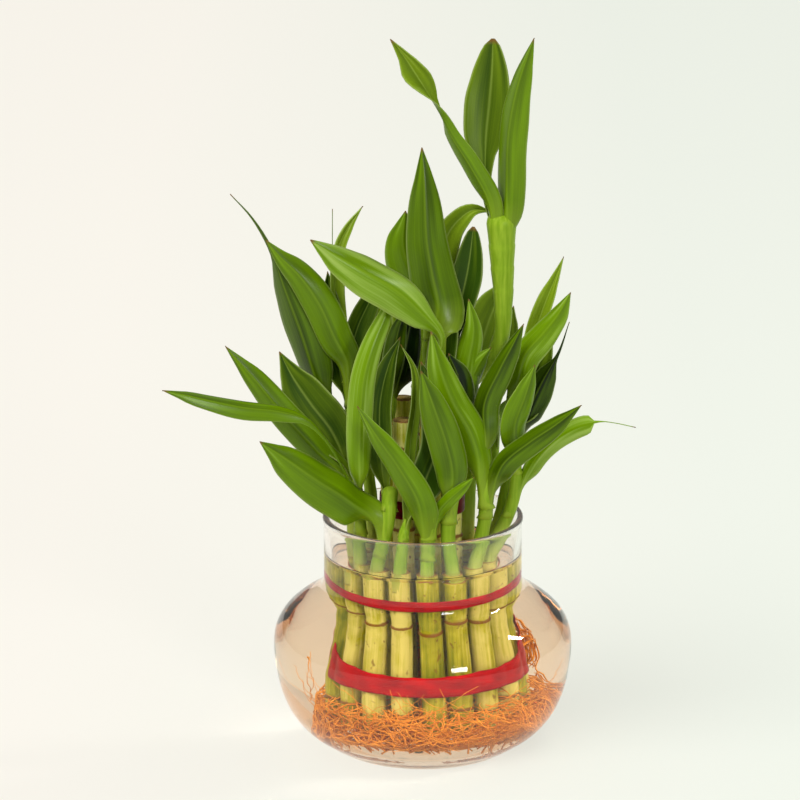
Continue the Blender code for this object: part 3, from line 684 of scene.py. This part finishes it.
class BAMBOO_OT_bowl(Operator):
    """Blow the clear glass bowl: thick foot, round belly, straight neck and a rounded rim."""
    bl_idname = "bamboo.bowl"
    bl_label = "Glass Bowl"

    def execute(self, context):
        bowl = context.scene.bamboo_bowl
        rim = bowl.rim_height / MM
        neck = bowl.neck_radius / MM
        inside = neck - bowl.neck_wall / MM
        lip = [(inside + 0.1, rim - 1.2), (inside + 0.5, rim - 0.35), (neck - 1.0, rim),
               (neck + 0.15, rim - 0.35), (neck + 0.45, rim - 1.3), (neck + 0.3, rim - 2.4),
               (neck, rim - 3.6)]
        wall = smooth_outline(inner_wall(inside, rim - 2.4), 60)
        profile = [(0.0, FLOOR_TOP), (14.0, FLOOR_TOP), *wall]
        profile += smooth_outline(lip, 16)
        profile += smooth_outline(outer_wall(neck), 70)
        profile += [(32.5, 0.0), (30.5, 0.7), (12.0, 1.3), (0.0, 1.3)]
        shape = bmesh.new()
        turn_profile(shape, profile, BOWL_STEPS)
        glass = clear_material("soda_lime_glass", bowl.glass_tint, GLASS_IOR, 22.0, 0.25)
        # The wet inner wall carries the water's tint.
        wet_glass = clear_material("soda_lime_glass_under_water", bowl.water_tint, WET_GLASS_IOR,
                                   22.0, 0.25)
        # The rim's glass is part milky white and rough so that the rim shows pale: painted light where
        # clear glass would show a dark arc.
        rim_glass = clear_material("rim_glass_painted_pale", hex_colour("#f4f5f1"), GLASS_IOR, 22.0, 0.05)
        pale_rim_shader = rim_glass.node_tree.nodes["Principled BSDF"]
        pale_rim_shader.inputs["Transmission Weight"].default_value = 0.94
        pale_rim_shader.inputs["Roughness"].default_value = 0.12
        level = bowl.water_level / MM
        for face in shape.faces:
            middle = face.calc_center_median()
            radius = math.hypot(middle.x, middle.y)
            inner = np.interp(middle.z, [point[1] for point in wall], [point[0] for point in wall])
            if middle.z > rim - 1.1:
                face.material_index = 1
            elif 5.0 < middle.z < level and radius < inner + 0.7:
                face.material_index = 2
        finish_piece("bowl_glass", shape, [glass, rim_glass, wet_glass], ["glass_bowl"])
        return {"FINISHED"}


class BAMBOO_OT_water(Operator):
    """Fill the bowl with water up to its level, with a raised edge where it meets the glass."""
    bl_idname = "bamboo.water"
    bl_label = "Water"

    def execute(self, context):
        bowl = context.scene.bamboo_bowl
        level = bowl.water_level / MM
        neck = (bowl.neck_radius - bowl.neck_wall) / MM
        wall = [(radius + INTO_GLASS, height)
                for radius, height in smooth_outline(inner_wall(neck, level + 0.9), 60)]
        profile = [(0.0, FLOOR_TOP - INTO_GLASS), (14.0, FLOOR_TOP - INTO_GLASS), *wall,
                   (neck - 0.5, level + 0.35), (neck - 1.4, level + 0.08), (neck - 3.0, level),
                   (20.0, level), (0.0, level)]
        shape = bmesh.new()
        turn_profile(shape, profile, BOWL_STEPS)
        surface = clear_material("plant_water", bowl.water_tint, WATER_IOR, 30.0, 0.02)
        # The water's sides let sight straight through: the glass's inner wall bends it for both.
        body = clear_material("plant_water_against_glass", bowl.glass_tint, 1.0, 30.0, 0.02)
        body.node_tree.nodes["Principled BSDF"].inputs["Alpha"].default_value = 0.0
        for face in shape.faces:
            face.material_index = 0 if face.calc_center_median().z > level - 0.05 else 1
        finish_piece("bowl_water", shape, [surface, body], ["water"])
        return {"FINISHED"}


# ---------------------------------------------------------------- stalks

def ring_place(radius, angle_deg):
    """The X and Y of a place on a ring, with the angle from the front towards the right."""
    angle = math.radians(angle_deg)
    return np.array([radius * math.sin(angle), -radius * math.cos(angle)])


def outer_spot(index):
    """The X and Y of a short cane."""
    return ring_place(OUTER_RING, OUTER_FIRST_ANGLE + index * 360.0 / OUTER_COUNT)


def inner_spot(index):
    """The X and Y of a tall cane."""
    return ring_place(INNER_RING, INNER_FIRST_ANGLE + index * 360.0 / INNER_COUNT)


def lean_at(height):
    """How far a cane stands to the right at a height: its foot is off to the side."""
    return FOOT_SHIFT * max(0.0, 1.0 - (height - CANE_FOOT) / (LEAN_END - CANE_FOOT))


def cane_rings(radius, foot, top, joints, rng):
    """Heights, radii and marks up one cane, with a ridge and a scar at each joint."""
    rows = [(foot, radius * 0.55, 0.0, 1.0), (foot + 0.1, radius * 0.9, 0.1, 1.0),
            (foot + 0.5, radius, 0.5, 0.2), (foot + 1.2, radius, 0.0, 0.0)]
    for joint in joints:
        stain = rng.uniform(0.1, 0.5)
        rows += [(joint - 4.0, radius, 0.0, 0.0), (joint - 1.4, radius + 0.1, stain * 0.6, 0.0),
                 (joint - 0.5, radius + 0.42, 0.5, 0.0), (joint - 0.1, radius + 0.5, 0.9, 0.0),
                 (joint + 0.3, radius + 0.2, 1.0, 0.0), (joint + 0.8, radius - 0.05, 0.6, 0.0),
                 (joint + 2.0, radius - 0.08, stain, 0.0), (joint + 4.5, radius, 0.0, 0.0)]
    rows += [(top - 2.0, radius, 0.0, 0.0), (top - 0.7, radius + 0.05, 0.3, 0.0),
             (top - 0.2, radius, 0.8, 0.3), (top, radius * 0.9, 0.3, 1.0),
             (top - 0.25, radius * 0.6, 0.0, 1.0), (top - 0.3, radius * 0.2, 0.0, 1.0)]
    girth = rng.uniform(0.9, 1.02)
    swell = [girth + rng.uniform(-0.012, 0.012) for _ in rows]
    return [(height, size * grow, ring, cut)
            for (height, size, ring, cut), grow in zip(rows, swell)]


def shoot_route(spot, top, shoot):
    """Where the green shoot runs: out of the side of the cane's head and up its route."""
    out = np.array([*unit(np.array(shoot[0][:2]) - spot * 0.6), 0.0])
    start = np.array([*spot, top - 7.0]) + out * 0.8
    bend = np.array([*spot, top + 1.5]) + out * 1.2
    return smooth_route([start, bend, *shoot], 12 * (len(shoot) + 1))


def shoot_radius(name, share):
    """Radius of a shoot at a share of its length."""
    plain = SHOOT_RADIUS * (1.12 - 0.42 * share)
    if name not in SWOLLEN:
        return plain
    grown = max(0.0, (share - 0.3) / 0.7)
    return plain + (SWOLLEN[name] - 0.7 * SHOOT_RADIUS) * grown ** 1.3


def add_shoot(shape, name, path, rng):
    """A pale green shoot wrapped in old leaf bases."""
    total = len(path)
    radii = []
    rings = []
    step = rng.randint(6, 8)
    for index in range(total):
        share = index / (total - 1)
        phase = (index % step) / step
        radii.append(shoot_radius(name, share) * (1.0 + 0.05 * phase))
        rings.append(0.35 if index < 2 else 0.0)
    if name in SWOLLEN:
        radii[-3] *= 0.93
        radii[-2] *= 0.78
        radii[-1] *= 0.4
    else:
        for index in range(total - 6, total):
            radii[index] *= 0.25 + 0.125 * (total - 1 - index)
    green = [min(1.0, 0.35 + 1.9 * index / total) for index in range(total)]
    sweep(shape, path, radii, 14,
          {"ring": rings, "cut": [0.0] * total, "shoot": green, "tone": [0.2] * total})


def build_stalk(name, spot, radius, top, joints, shoot, material, seed):
    """One stalk: its cut cane with joints and the shoot that grew from its head."""
    rng = random.Random(seed)
    shape = bmesh.new()
    foot = CANE_FOOT + rng.uniform(0.0, 3.5)
    rows = cane_rings(radius, foot, top, joints, rng)
    lean = rng.uniform(-0.6, 0.6)
    places = [(spot[0] + lean_at(height) * (1.0 + lean), spot[1], height)
              for height, _, _, _ in rows]
    tone = rng.uniform(-0.32, 0.16)
    sweep(shape, places, [row[1] for row in rows], 24,
          {"ring": [row[2] for row in rows], "cut": [row[3] for row in rows],
           "shoot": [0.0] * len(rows), "tone": [tone] * len(rows)})
    if shoot:
        add_shoot(shape, name, shoot_route(spot, top, shoot), rng)
    bmesh.ops.recalc_face_normals(shape, faces=shape.faces)
    finish_piece(f"{name}_grown", shape, [material], [name])


class BAMBOO_OT_outer_stalks(Operator):
    """Stand the outer ring of short canes with their shoots."""
    bl_idname = "bamboo.outer_stalks"
    bl_label = "Outer Stalks"

    def execute(self, context):
        material = plant_material("cane")
        for index, (top, joint, shoot) in enumerate(OUTER_STALKS):
            build_stalk(f"outer_stalk_{index + 1:02d}", outer_spot(index), OUTER_CANE, top,
                        (joint - 29.0, joint) if joint - 29.0 > 24.0 else (joint,),
                        shoot, material, 100 + index)
        return {"FINISHED"}


class BAMBOO_OT_inner_stalks(Operator):
    """Stand the inner ring of tall canes with their shoots."""
    bl_idname = "bamboo.inner_stalks"
    bl_label = "Inner Stalks"

    def execute(self, context):
        material = plant_material("cane")
        for index, (top, joints, shoot) in enumerate(INNER_STALKS):
            build_stalk(f"inner_stalk_{index + 1}", inner_spot(index), INNER_CANE, top, joints,
                        shoot, material, 200 + index)
        return {"FINISHED"}


def plant_material(kind):
    """The plant's shared materials, each made once."""
    plant = bpy.context.scene.bamboo_plant
    made = bpy.data.materials.get({"cane": "dracaena_cane", "leaf": "leaf_upper_face",
                                   "under": "leaf_lower_face"}[kind])
    if made:
        return made
    if kind == "cane":
        return cane_material(plant.cane)
    if kind == "leaf":
        return leaf_material("leaf_upper_face", plant.leaf_bright, plant.leaf_dark, False)
    # The lower face is paler: partly a leaf's own paler underside, partly painted light that shines
    # through the blade.
    return leaf_material("leaf_lower_face", hex_colour("#7f9a18"), hex_colour("#2c4606"), True)


# ---------------------------------------------------------------- leaves

def stalk_axis(stalk, height):
    """The axis place of a stalk at a height, and the radius that a leaf wraps there."""
    group, number = stalk.rsplit("_", 1)
    index = int(number) - 1
    if group == "outer_stalk":
        top, _, shoot = OUTER_STALKS[index]
        spot = outer_spot(index)
    else:
        top, _, shoot = INNER_STALKS[index]
        spot = inner_spot(index)
    if height <= top + 1.5:
        return np.array([*spot, height]), INNER_CANE
    path = shoot_route(spot, top, shoot)
    share = np.interp(height, path[:, 2], np.linspace(0.0, 1.0, len(path)))
    axis = [np.interp(height, path[:, 2], path[:, i]) for i in range(3)]
    return np.array(axis), min(shoot_radius(stalk, share), 3.2) + 0.2


def blade_widths(profile, width, foot_width, places):
    """Widths of a leaf at its places: the wrapped foot, then the blade up to the tip."""
    outline = smooth_route(PROFILES[profile], 80)
    blade = width * np.interp(places, outline[:, 0], outline[:, 1])
    sheath = foot_width * np.clip(1.0 - places / 0.15, 0.0, 1.0)
    return np.maximum(np.maximum(blade, sheath), 0.2)


def build_leaf(name, leaf, nodes, twist=0.0):
    """One leaf: it sheathes its shoot, arches out and narrows to its tip."""
    stalk, height, width, facing, points, tone, profile = leaf
    rng = random.Random(name)
    axis, radius = stalk_axis(stalk, height)
    below, _ = stalk_axis(stalk, height - SHEATH_LENGTH)
    outward = unit([points[0][0] - axis[0], points[0][1] - axis[1], 0.0])
    knots = [below + outward * radius, axis + outward * (radius + 0.1),
             axis + outward * (radius + 1.1) + (0.0, 0.0, 5.0), *points]
    middle = smooth_route(knots, LEAF_ROWS + 1)
    along = np.gradient(middle, axis=0)
    facing = unit(facing)
    upper = facing if np.dot(-outward, facing) >= 0.0 else -facing
    widths = blade_widths(profile, width, 4.4 * radius, np.linspace(0.0, 1.0, LEAF_ROWS + 1))
    crease = rng.uniform(0.26, 0.48)
    wave = rng.uniform(0.25, 0.6)
    beat = rng.uniform(2.0, 3.6)
    phase = rng.uniform(0.0, math.tau)
    shape = bmesh.new()
    bmesh.ops.create_grid(shape, x_segments=LEAF_COLUMNS, y_segments=LEAF_ROWS, size=1.0)
    uv = shape.loops.layers.uv.new("blade")
    tones = shape.verts.layers.float.new("tone")
    grid = {vert: (vert.co.x, (vert.co.y + 1.0) / 2.0) for vert in shape.verts}
    for vert, (across, share) in grid.items():
        row = round(share * LEAF_ROWS)
        turn = min(1.0, max(0.0, (share - 0.04) / 0.3))
        turn = turn * turn * (3.0 - 2.0 * turn)
        normal = -outward * (1.0 - turn) + upper * turn
        side = unit(np.cross(along[row], normal))
        lift = unit(np.cross(side, along[row]))
        if twist:
            spin = math.radians(twist) * min(1.0, max(0.0, (share - 0.55) / 0.3))
            side, lift = (side * math.cos(spin) + lift * math.sin(spin),
                          lift * math.cos(spin) - side * math.sin(spin))
        half = widths[row] / 2.0
        bend = SHEATH_BEND * (1.0 - turn) + BLADE_BEND * turn
        reach = half / bend
        ripple = wave * turn * across**2 * math.sin(math.tau * beat * share + phase + across)
        fold = crease * half * abs(across) * turn
        vert.co = Vector(middle[row] + side * reach * math.sin(bend * across)
                         + lift * (reach * (1.0 - math.cos(bend * across)) + fold
                                   + ripple * min(1.0, half / 4.0)))
        vert[tones] = tone
    for face in shape.faces:
        for loop in face.loops:
            across, share = grid[loop.vert]
            loop[uv].uv = ((across + 1.0) / 2.0, share)
    bmesh.ops.recalc_face_normals(shape, faces=shape.faces)
    # The upper face of the wrapped foot looks in at the shoot.
    probe = next(iter(shape.faces))
    if np.dot(np.array(probe.normal), -outward) < 0.0:
        bmesh.ops.reverse_faces(shape, faces=shape.faces)
    piece = finish_piece(name + "_blade", shape, [plant_material("leaf"), plant_material("under")],
                         nodes)
    skin = piece.modifiers.new("thickness", "SOLIDIFY")
    skin.thickness = LEAF_THICKNESS * MM
    skin.offset = -1.0
    skin.material_offset = 1
    return piece


class BAMBOO_OT_leaves(Operator):
    """Grow every leaf that the solids hold."""
    bl_idname = "bamboo.leaves"
    bl_label = "Leaves"

    def execute(self, context):
        for name, leaf in LEAVES.items():
            build_leaf(name, leaf, [name], TWISTED.get(name, 0.0))
        return {"FINISHED"}


class BAMBOO_OT_more_leaves(Operator):
    """Grow the leaves of the far side and the dark ones deep inside."""
    bl_idname = "bamboo.more_leaves"
    bl_label = "More Leaves"

    def execute(self, context):
        for name, leaf in MORE_LEAVES.items():
            build_leaf(name, leaf, [])
        return {"FINISHED"}


# ---------------------------------------------------------------- ribbons and roots

def band_radius(ring, cane, count, first, angle_deg):
    """How far out a taut band runs at an angle: out at each cane and nearly straight between."""
    step = 360.0 / count
    off = (angle_deg - first + step / 2.0) % step - step / 2.0
    return ring * math.cos(math.radians(off)) + cane


def build_ribbon(node, ring, cane, count, first, centre, slant, flare, trim, material, seed):
    """One satin band wound tight round a ring of canes.

    centre is the ring's middle in X. slant lifts the right side and drops the left. flare lifts
    both sides, its top edge the most, and a negative one drops them. trim is how much narrower
    the satin is than the room that it has.
    """
    rng = random.Random(seed)
    low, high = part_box(node)
    foot = low[2] / MM + 0.9 * trim
    height = (high[2] - low[2]) / MM - trim
    shape = bmesh.new()
    made = bmesh.ops.create_circle(shape, cap_ends=False, segments=RIBBON_SEGMENTS,
                                   radius=ring)["verts"]
    edges = list({edge for vert in made for edge in vert.link_edges})
    level = {vert: 0 for vert in made}
    for row in range(1, RIBBON_ROWS + 1):
        geometry = bmesh.ops.extrude_edge_only(shape, edges=edges)["geom"]
        fresh = [part for part in geometry if isinstance(part, bmesh.types.BMVert)]
        edges = [part for part in geometry if isinstance(part, bmesh.types.BMEdge)
                 and part.verts[0] in fresh and part.verts[1] in fresh]
        for vert in fresh:
            level[vert] = row
    creases = [(rng.uniform(0, 360), rng.uniform(-0.5, 0.5), rng.uniform(10, 40))
               for _ in range(RIBBON_CREASES)]
    uv = shape.loops.layers.uv.new("cloth")
    where = {}
    for vert, row in level.items():
        angle = math.degrees(math.atan2(vert.co.x, -vert.co.y)) % 360.0
        share = row / RIBBON_ROWS
        out = band_radius(ring, cane, count, first, angle) + 0.2
        crease = sum(depth * math.exp(-(((angle - middle + 180.0) % 360.0 - 180.0) / spread) ** 2)
                     * math.sin(math.pi * share * 2.0 + middle)
                     for middle, depth, spread in creases)
        out += 0.16 * abs(crease) + 0.10 * math.sin(math.pi * share)
        lift = 0.35 * math.sin(math.radians(angle) * 3.0 + seed) * (1 if share > 0.5 else -0.6)
        side = math.sin(math.radians(angle))
        flared = flare * side ** 4
        vert.co = Vector((centre + out * side, -out * math.cos(math.radians(angle)),
                          foot + height * share + flared * (share + 0.3) + lift * 0.5
                          + slant * side))
        where[vert] = (math.radians(angle) * ring, height * share)
    for face in shape.faces:
        turn = [where[loop.vert][0] for loop in face.loops]
        wrap = math.tau * ring if max(turn) - min(turn) > ring else 0.0
        for loop in face.loops:
            run, up = where[loop.vert]
            loop[uv].uv = ((run + (wrap if run < ring else 0.0)) * MM, up * MM)
    bmesh.ops.recalc_face_normals(shape, faces=shape.faces)
    piece = finish_piece(node + "_satin", shape, [material], [node])
    skin = piece.modifiers.new("cloth", "SOLIDIFY")
    skin.thickness = RIBBON_THICKNESS * MM
    skin.offset = 1.0
    return piece


class BAMBOO_OT_ribbons(Operator):
    """Tie the satin ribbons round the rings of canes."""
    bl_idname = "bamboo.ribbons"
    bl_label = "Ribbons"

    def execute(self, context):
        satin = satin_material("satin_ribbon", context.scene.bamboo_plant.ribbon,
                               hex_colour("#8d0612"))
        # The inner ribbon is the same red satin painted darker: painted shade, as it sits in the shade
        # of the shoots.
        shaded = satin_material("red_satin_in_painted_shade", hex_colour("#6e0b12"), hex_colour("#3a0408"))
        outer = (OUTER_RING, OUTER_CANE, OUTER_COUNT, OUTER_FIRST_ANGLE)
        inner = (INNER_RING, INNER_CANE, INNER_COUNT, INNER_FIRST_ANGLE)
        build_ribbon("ribbon_lower", *outer, centre=lean_at(33.0), slant=0.3, flare=-1.6, trim=2.9,
                     material=satin, seed=1)
        build_ribbon("ribbon_upper", *outer, centre=lean_at(67.0), slant=0.5, flare=0.0, trim=0.6,
                     material=satin, seed=2)
        build_ribbon("ribbon_inner", *inner, centre=0.0, slant=0.4, flare=0.0, trim=0.0,
                     material=shaded, seed=3)
        return {"FINISHED"}


def bowl_floor(radius):
    """Height of the inside of the glass under a place at a radius."""
    outline = inner_wall(37.6, 71.0)[:6]
    return float(np.interp(radius, [point[0] for point in outline], [point[1] for point in outline]))


def root_path(rng, steps, stride):
    """One root's wandering route: out of a cane's foot, then round and round the mat."""
    angle = rng.uniform(0.0, math.tau)
    radius = rng.uniform(12.0, 33.0)
    place = np.array([radius * math.sin(angle) + 3.0, -radius * math.cos(angle),
                      rng.uniform(11.0, 27.0)])
    heading = unit([math.sin(angle) + rng.uniform(-1.3, 1.3), -math.cos(angle)
                    + rng.uniform(-1.3, 1.3), rng.uniform(-0.6, 0.4)])
    curl = rng.uniform(-0.45, 0.45)
    path = [place.copy()]
    for _ in range(steps):
        turn = math.cos(curl), math.sin(curl)
        heading = unit([heading[0] * turn[0] - heading[1] * turn[1] + rng.uniform(-0.35, 0.35),
                        heading[0] * turn[1] + heading[1] * turn[0] + rng.uniform(-0.35, 0.35),
                        heading[2] * 0.85 + rng.uniform(-0.42, 0.42)])
        place = place + heading * stride
        off = place[:2] - (MAT_MIDDLE, 0.0)
        reach = np.linalg.norm(off)
        if reach > MAT_REACH:
            place[:2] = (MAT_MIDDLE, 0.0) + off * MAT_REACH / reach
            heading[:2] -= 0.6 * off / reach
        low = bowl_floor(np.linalg.norm(place[:2])) + MAT_LIFT
        # The mat's top falls away past a reach of 24, and more so at its right edge.
        high = MAT_TOP - 0.24 * max(0.0, reach - 24.0) ** 1.3 - 0.6 * max(0.0, place[0] - 28.0)
        if place[2] < low or place[2] > high:
            place[2] = min(max(place[2], low), high)
            heading[2] = -0.5 * heading[2]
        path.append(place.copy())
    return path


def stray_path(rng):
    """A fine root that leaves the mat and climbs or hangs in the open water."""
    angle = rng.uniform(-1.9, 0.9)
    radius = rng.uniform(34.5, 38.0)
    rise = rng.choice((1.0, 1.0, -0.6))
    place = np.array([radius * math.sin(angle) + 2.0, -radius * math.cos(angle), 22.0])
    path = [place.copy()]
    turn = rng.uniform(-0.09, 0.09)
    for _ in range(11):
        angle += turn + rng.uniform(-0.03, 0.03)
        radius += rng.uniform(-0.4, 1.1)
        height = place[2] + rise * rng.uniform(0.2, 2.2)
        height = min(max(height, bowl_floor(min(radius, 50.0)) + 1.0), 41.0)
        place = np.array([radius * math.sin(angle) + 2.0, -radius * math.cos(angle), height])
        path.append(place.copy())
    return path


class BAMBOO_OT_roots(Operator):
    """Tangle the roots under and round the feet of the canes."""
    bl_idname = "bamboo.roots"
    bl_label = "Roots"

    def execute(self, context):
        plant = context.scene.bamboo_plant
        rng = random.Random(7)
        curve = bpy.data.curves.new("roots", "CURVE")
        curve.dimensions = "3D"
        curve.bevel_depth = MM
        curve.bevel_resolution = 0
        curve.use_fill_caps = True
        for index in range(plant.root_count):
            stray = index % STRAY_EVERY == STRAY_EVERY - 1
            path = stray_path(rng) if stray else root_path(rng, 13, 2.5)
            spline = curve.splines.new("POLY")
            spline.points.add(len(path) - 1)
            thick = rng.uniform(0.12, 0.18) if stray else rng.uniform(0.17, 0.38)
            for number, (knot, place) in enumerate(zip(spline.points, path)):
                knot.co = (place[0] * MM, place[1] * MM, place[2] * MM, 1.0)
                knot.radius = thick * (1.0 - 0.55 * number / len(path))
            spline.material_index = 1 if stray else rng.choice((0, 0, 0, 1, 2, 2))
        strands = bpy.data.objects.new("roots", curve)
        context.scene.collection.objects.link(strands)
        context.view_layer.update()
        mesh = bpy.data.meshes.new_from_object(strands.evaluated_get(
            context.evaluated_depsgraph_get()))
        bpy.data.objects.remove(strands)
        if not mesh.polygons:
            raise RuntimeError("the roots came out without faces")
        mesh.materials.clear()
        for material in (root_material("orange_root", plant.root, hex_colour("#dd8c26")),
                         root_material("pale_root", hex_colour("#fbe0b4"), hex_colour("#e9b878")),
                         root_material("old_root", hex_colour("#b26a22"), hex_colour("#7c4210"))):
            mesh.materials.append(material)
        mesh.shade_smooth()
        piece = bpy.data.objects.new("root_tangle", mesh)
        context.scene.collection.objects.link(piece)
        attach(piece, BODY)
        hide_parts("root_mat")
        return {"FINISHED"}


# ---------------------------------------------------------------- stage

def add_lamp(name, place, aim, size, power, colour):
    """A rectangular soft lamp that points at a place."""
    light = bpy.data.lights.new(name, "AREA")
    light.shape = "RECTANGLE"
    light.size, light.size_y = size
    light.energy = power
    light.color = colour
    lamp = bpy.data.objects.new(name, light)
    lamp.location = place
    lamp.rotation_euler = (Vector(aim) - Vector(place)).to_track_quat("-Z", "Y").to_euler()
    bpy.context.scene.collection.objects.link(lamp)
    return lamp


def add_sun(name, direction, strength, spread_deg):
    """A soft sun that shines from a direction."""
    light = bpy.data.lights.new(name, "SUN")
    light.energy = strength
    light.angle = math.radians(spread_deg)
    lamp = bpy.data.objects.new(name, light)
    lamp.visible_glossy = False
    lamp.visible_transmission = False
    lamp.rotation_euler = Vector(direction).to_track_quat("Z", "Y").to_euler()
    bpy.context.scene.collection.objects.link(lamp)


class BAMBOO_OT_stage(Operator):
    """Lay the pale floor, hang the soft lamps and set up the camera."""
    bl_idname = "bamboo.stage"
    bl_label = "Stage"

    def execute(self, context):
        scene = context.scene
        stage = scene.bamboo_stage
        shape = bmesh.new()
        bmesh.ops.create_grid(shape, x_segments=1, y_segments=1, size=12.0)
        mesh = bpy.data.meshes.new("floor")
        shape.to_mesh(mesh)
        shape.free()
        material, tree, shader, _ = start_material("matte_paper_floor")
        place = add_node(tree, "ShaderNodeTexCoord").outputs["Object"]
        split = add_node(tree, "ShaderNodeSeparateXYZ", {0: place})
        share = add_node(tree, "ShaderNodeMapRange", {0: split.outputs[0], 1: -0.17, 2: 0.15})
        paper = lay_colours(tree, stage.floor_left, [(share.outputs[0], stage.floor_right)])
        # The paper takes little of the lamps' light and glows by itself, so it stays pale and even.
        lit = add_node(tree, "ShaderNodeMix", {0: 1.0, 6: paper, 7: (0.3, 0.3, 0.3, 1.0)},
                       data_type="RGBA", blend_type="MULTIPLY")
        tree.links.new(lit.outputs[2], shader.inputs["Base Color"])
        tree.links.new(paper, shader.inputs["Emission Color"])
        shader.inputs["Emission Strength"].default_value = PAPER_GLOW
        shader.inputs["Roughness"].default_value = 0.9
        shader.inputs["Specular IOR Level"].default_value = 0.1
        mesh.materials.append(material)
        floor = bpy.data.objects.new("floor", mesh)
        scene.collection.objects.link(floor)

        target = Vector(CAMERA_AIM)
        camera = bpy.data.cameras.new("camera")
        camera.lens = stage.lens
        camera.sensor_width = 36.0
        camera.clip_end = 100.0
        away = stage.view_width * stage.lens / camera.sensor_width
        direction = Vector((0.0, -math.cos(stage.elevation), math.sin(stage.elevation)))
        eye = bpy.data.objects.new("camera", camera)
        eye.location = target + direction * away
        eye.rotation_euler = Euler((math.pi / 2.0 - stage.elevation, 0.0, 0.0))
        scene.collection.objects.link(eye)
        scene.camera = eye

        add_sun("soft_sun", (-0.62, -0.55, 1.0), 2.5, 45.0)
        add_lamp("window_lamp", (0.52, -0.98, 0.52), (0.0, 0.0, 0.05), (0.26, 0.22), 4.2,
                 (1.0, 1.0, 1.0))
        add_lamp("right_lamp", (0.95, 0.35, 1.05), (0.0, 0.0, 0.16), (0.1, 0.22), 4.0,
                 (1.0, 1.0, 0.96))

        world = bpy.data.worlds.new("soft_room")
        scene.world = world
        world.use_nodes = True
        room = world.node_tree
        room.nodes.clear()
        view = add_node(room, "ShaderNodeTexCoord").outputs["Generated"]
        axes = add_node(room, "ShaderNodeSeparateXYZ", {0: view})
        sky = add_node(room, "ShaderNodeValToRGB", {0: axes.outputs[2]},
                       stops=[(0.0, hex_colour("#d9dbd4")), (0.5, hex_colour("#fbfbf6"))])
        path = add_node(room, "ShaderNodeLightPath").outputs
        straight = add_node(room, "ShaderNodeMath", {0: path["Is Camera Ray"],
                                                     1: path["Is Transmission Ray"]},
                            operation="MAXIMUM").outputs[0]
        power = add_node(room, "ShaderNodeMapRange", {0: straight, 3: ROOM_LIGHT,
                                                       4: ROOM_SEEN})
        light = add_node(room, "ShaderNodeBackground", {"Color": sky.outputs[0],
                                                        "Strength": power.outputs[0]})
        add_node(room, "ShaderNodeOutputWorld", {"Surface": light.outputs[0]})
        scene.view_settings.view_transform = "Standard"
        return {"FINISHED"}


# ---------------------------------------------------------------- panel and run

BUILD_ORDER = [BAMBOO_OT_stage, BAMBOO_OT_bowl, BAMBOO_OT_water, BAMBOO_OT_outer_stalks,
               BAMBOO_OT_inner_stalks, BAMBOO_OT_ribbons, BAMBOO_OT_roots, BAMBOO_OT_leaves,
               BAMBOO_OT_more_leaves]
SETTINGS = {"bamboo_bowl": BowlSettings, "bamboo_plant": PlantSettings,
            "bamboo_stage": StageSettings}


class BAMBOO_PT_panel(Panel):
    """The plant's settings and the buttons that build it."""
    bl_idname = "BAMBOO_PT_panel"
    bl_label = "Lucky Bamboo"
    bl_space_type = "VIEW_3D"
    bl_region_type = "UI"
    bl_category = "Bamboo"

    def draw(self, context):
        for name in SETTINGS:
            settings = getattr(context.scene, name)
            box = self.layout.box()
            for key in settings.bl_rna.properties.keys():
                if key not in ("rna_type", "name"):
                    box.prop(settings, key)
        for operator in BUILD_ORDER:
            self.layout.operator(operator.bl_idname)


def register():
    """Add the settings, the operators and the panel."""
    for kind in (*SETTINGS.values(), *BUILD_ORDER, BAMBOO_PT_panel):
        bpy.utils.register_class(kind)
    for name, kind in SETTINGS.items():
        setattr(bpy.types.Scene, name, PointerProperty(type=kind))


def unregister():
    """Take away the panel, the operators and the settings."""
    for name in SETTINGS:
        delattr(bpy.types.Scene, name)
    for kind in (BAMBOO_PT_panel, *reversed(BUILD_ORDER), *reversed(list(SETTINGS.values()))):
        bpy.utils.unregister_class(kind)


def main():
    """Build every piece in order."""
    register()
    for operator in BUILD_ORDER:
        group, action = operator.bl_idname.split(".")
        if getattr(getattr(bpy.ops, group), action)() != {"FINISHED"}:
            raise RuntimeError(f"{operator.bl_label} did not finish")


if __name__ == "__main__":
    main()
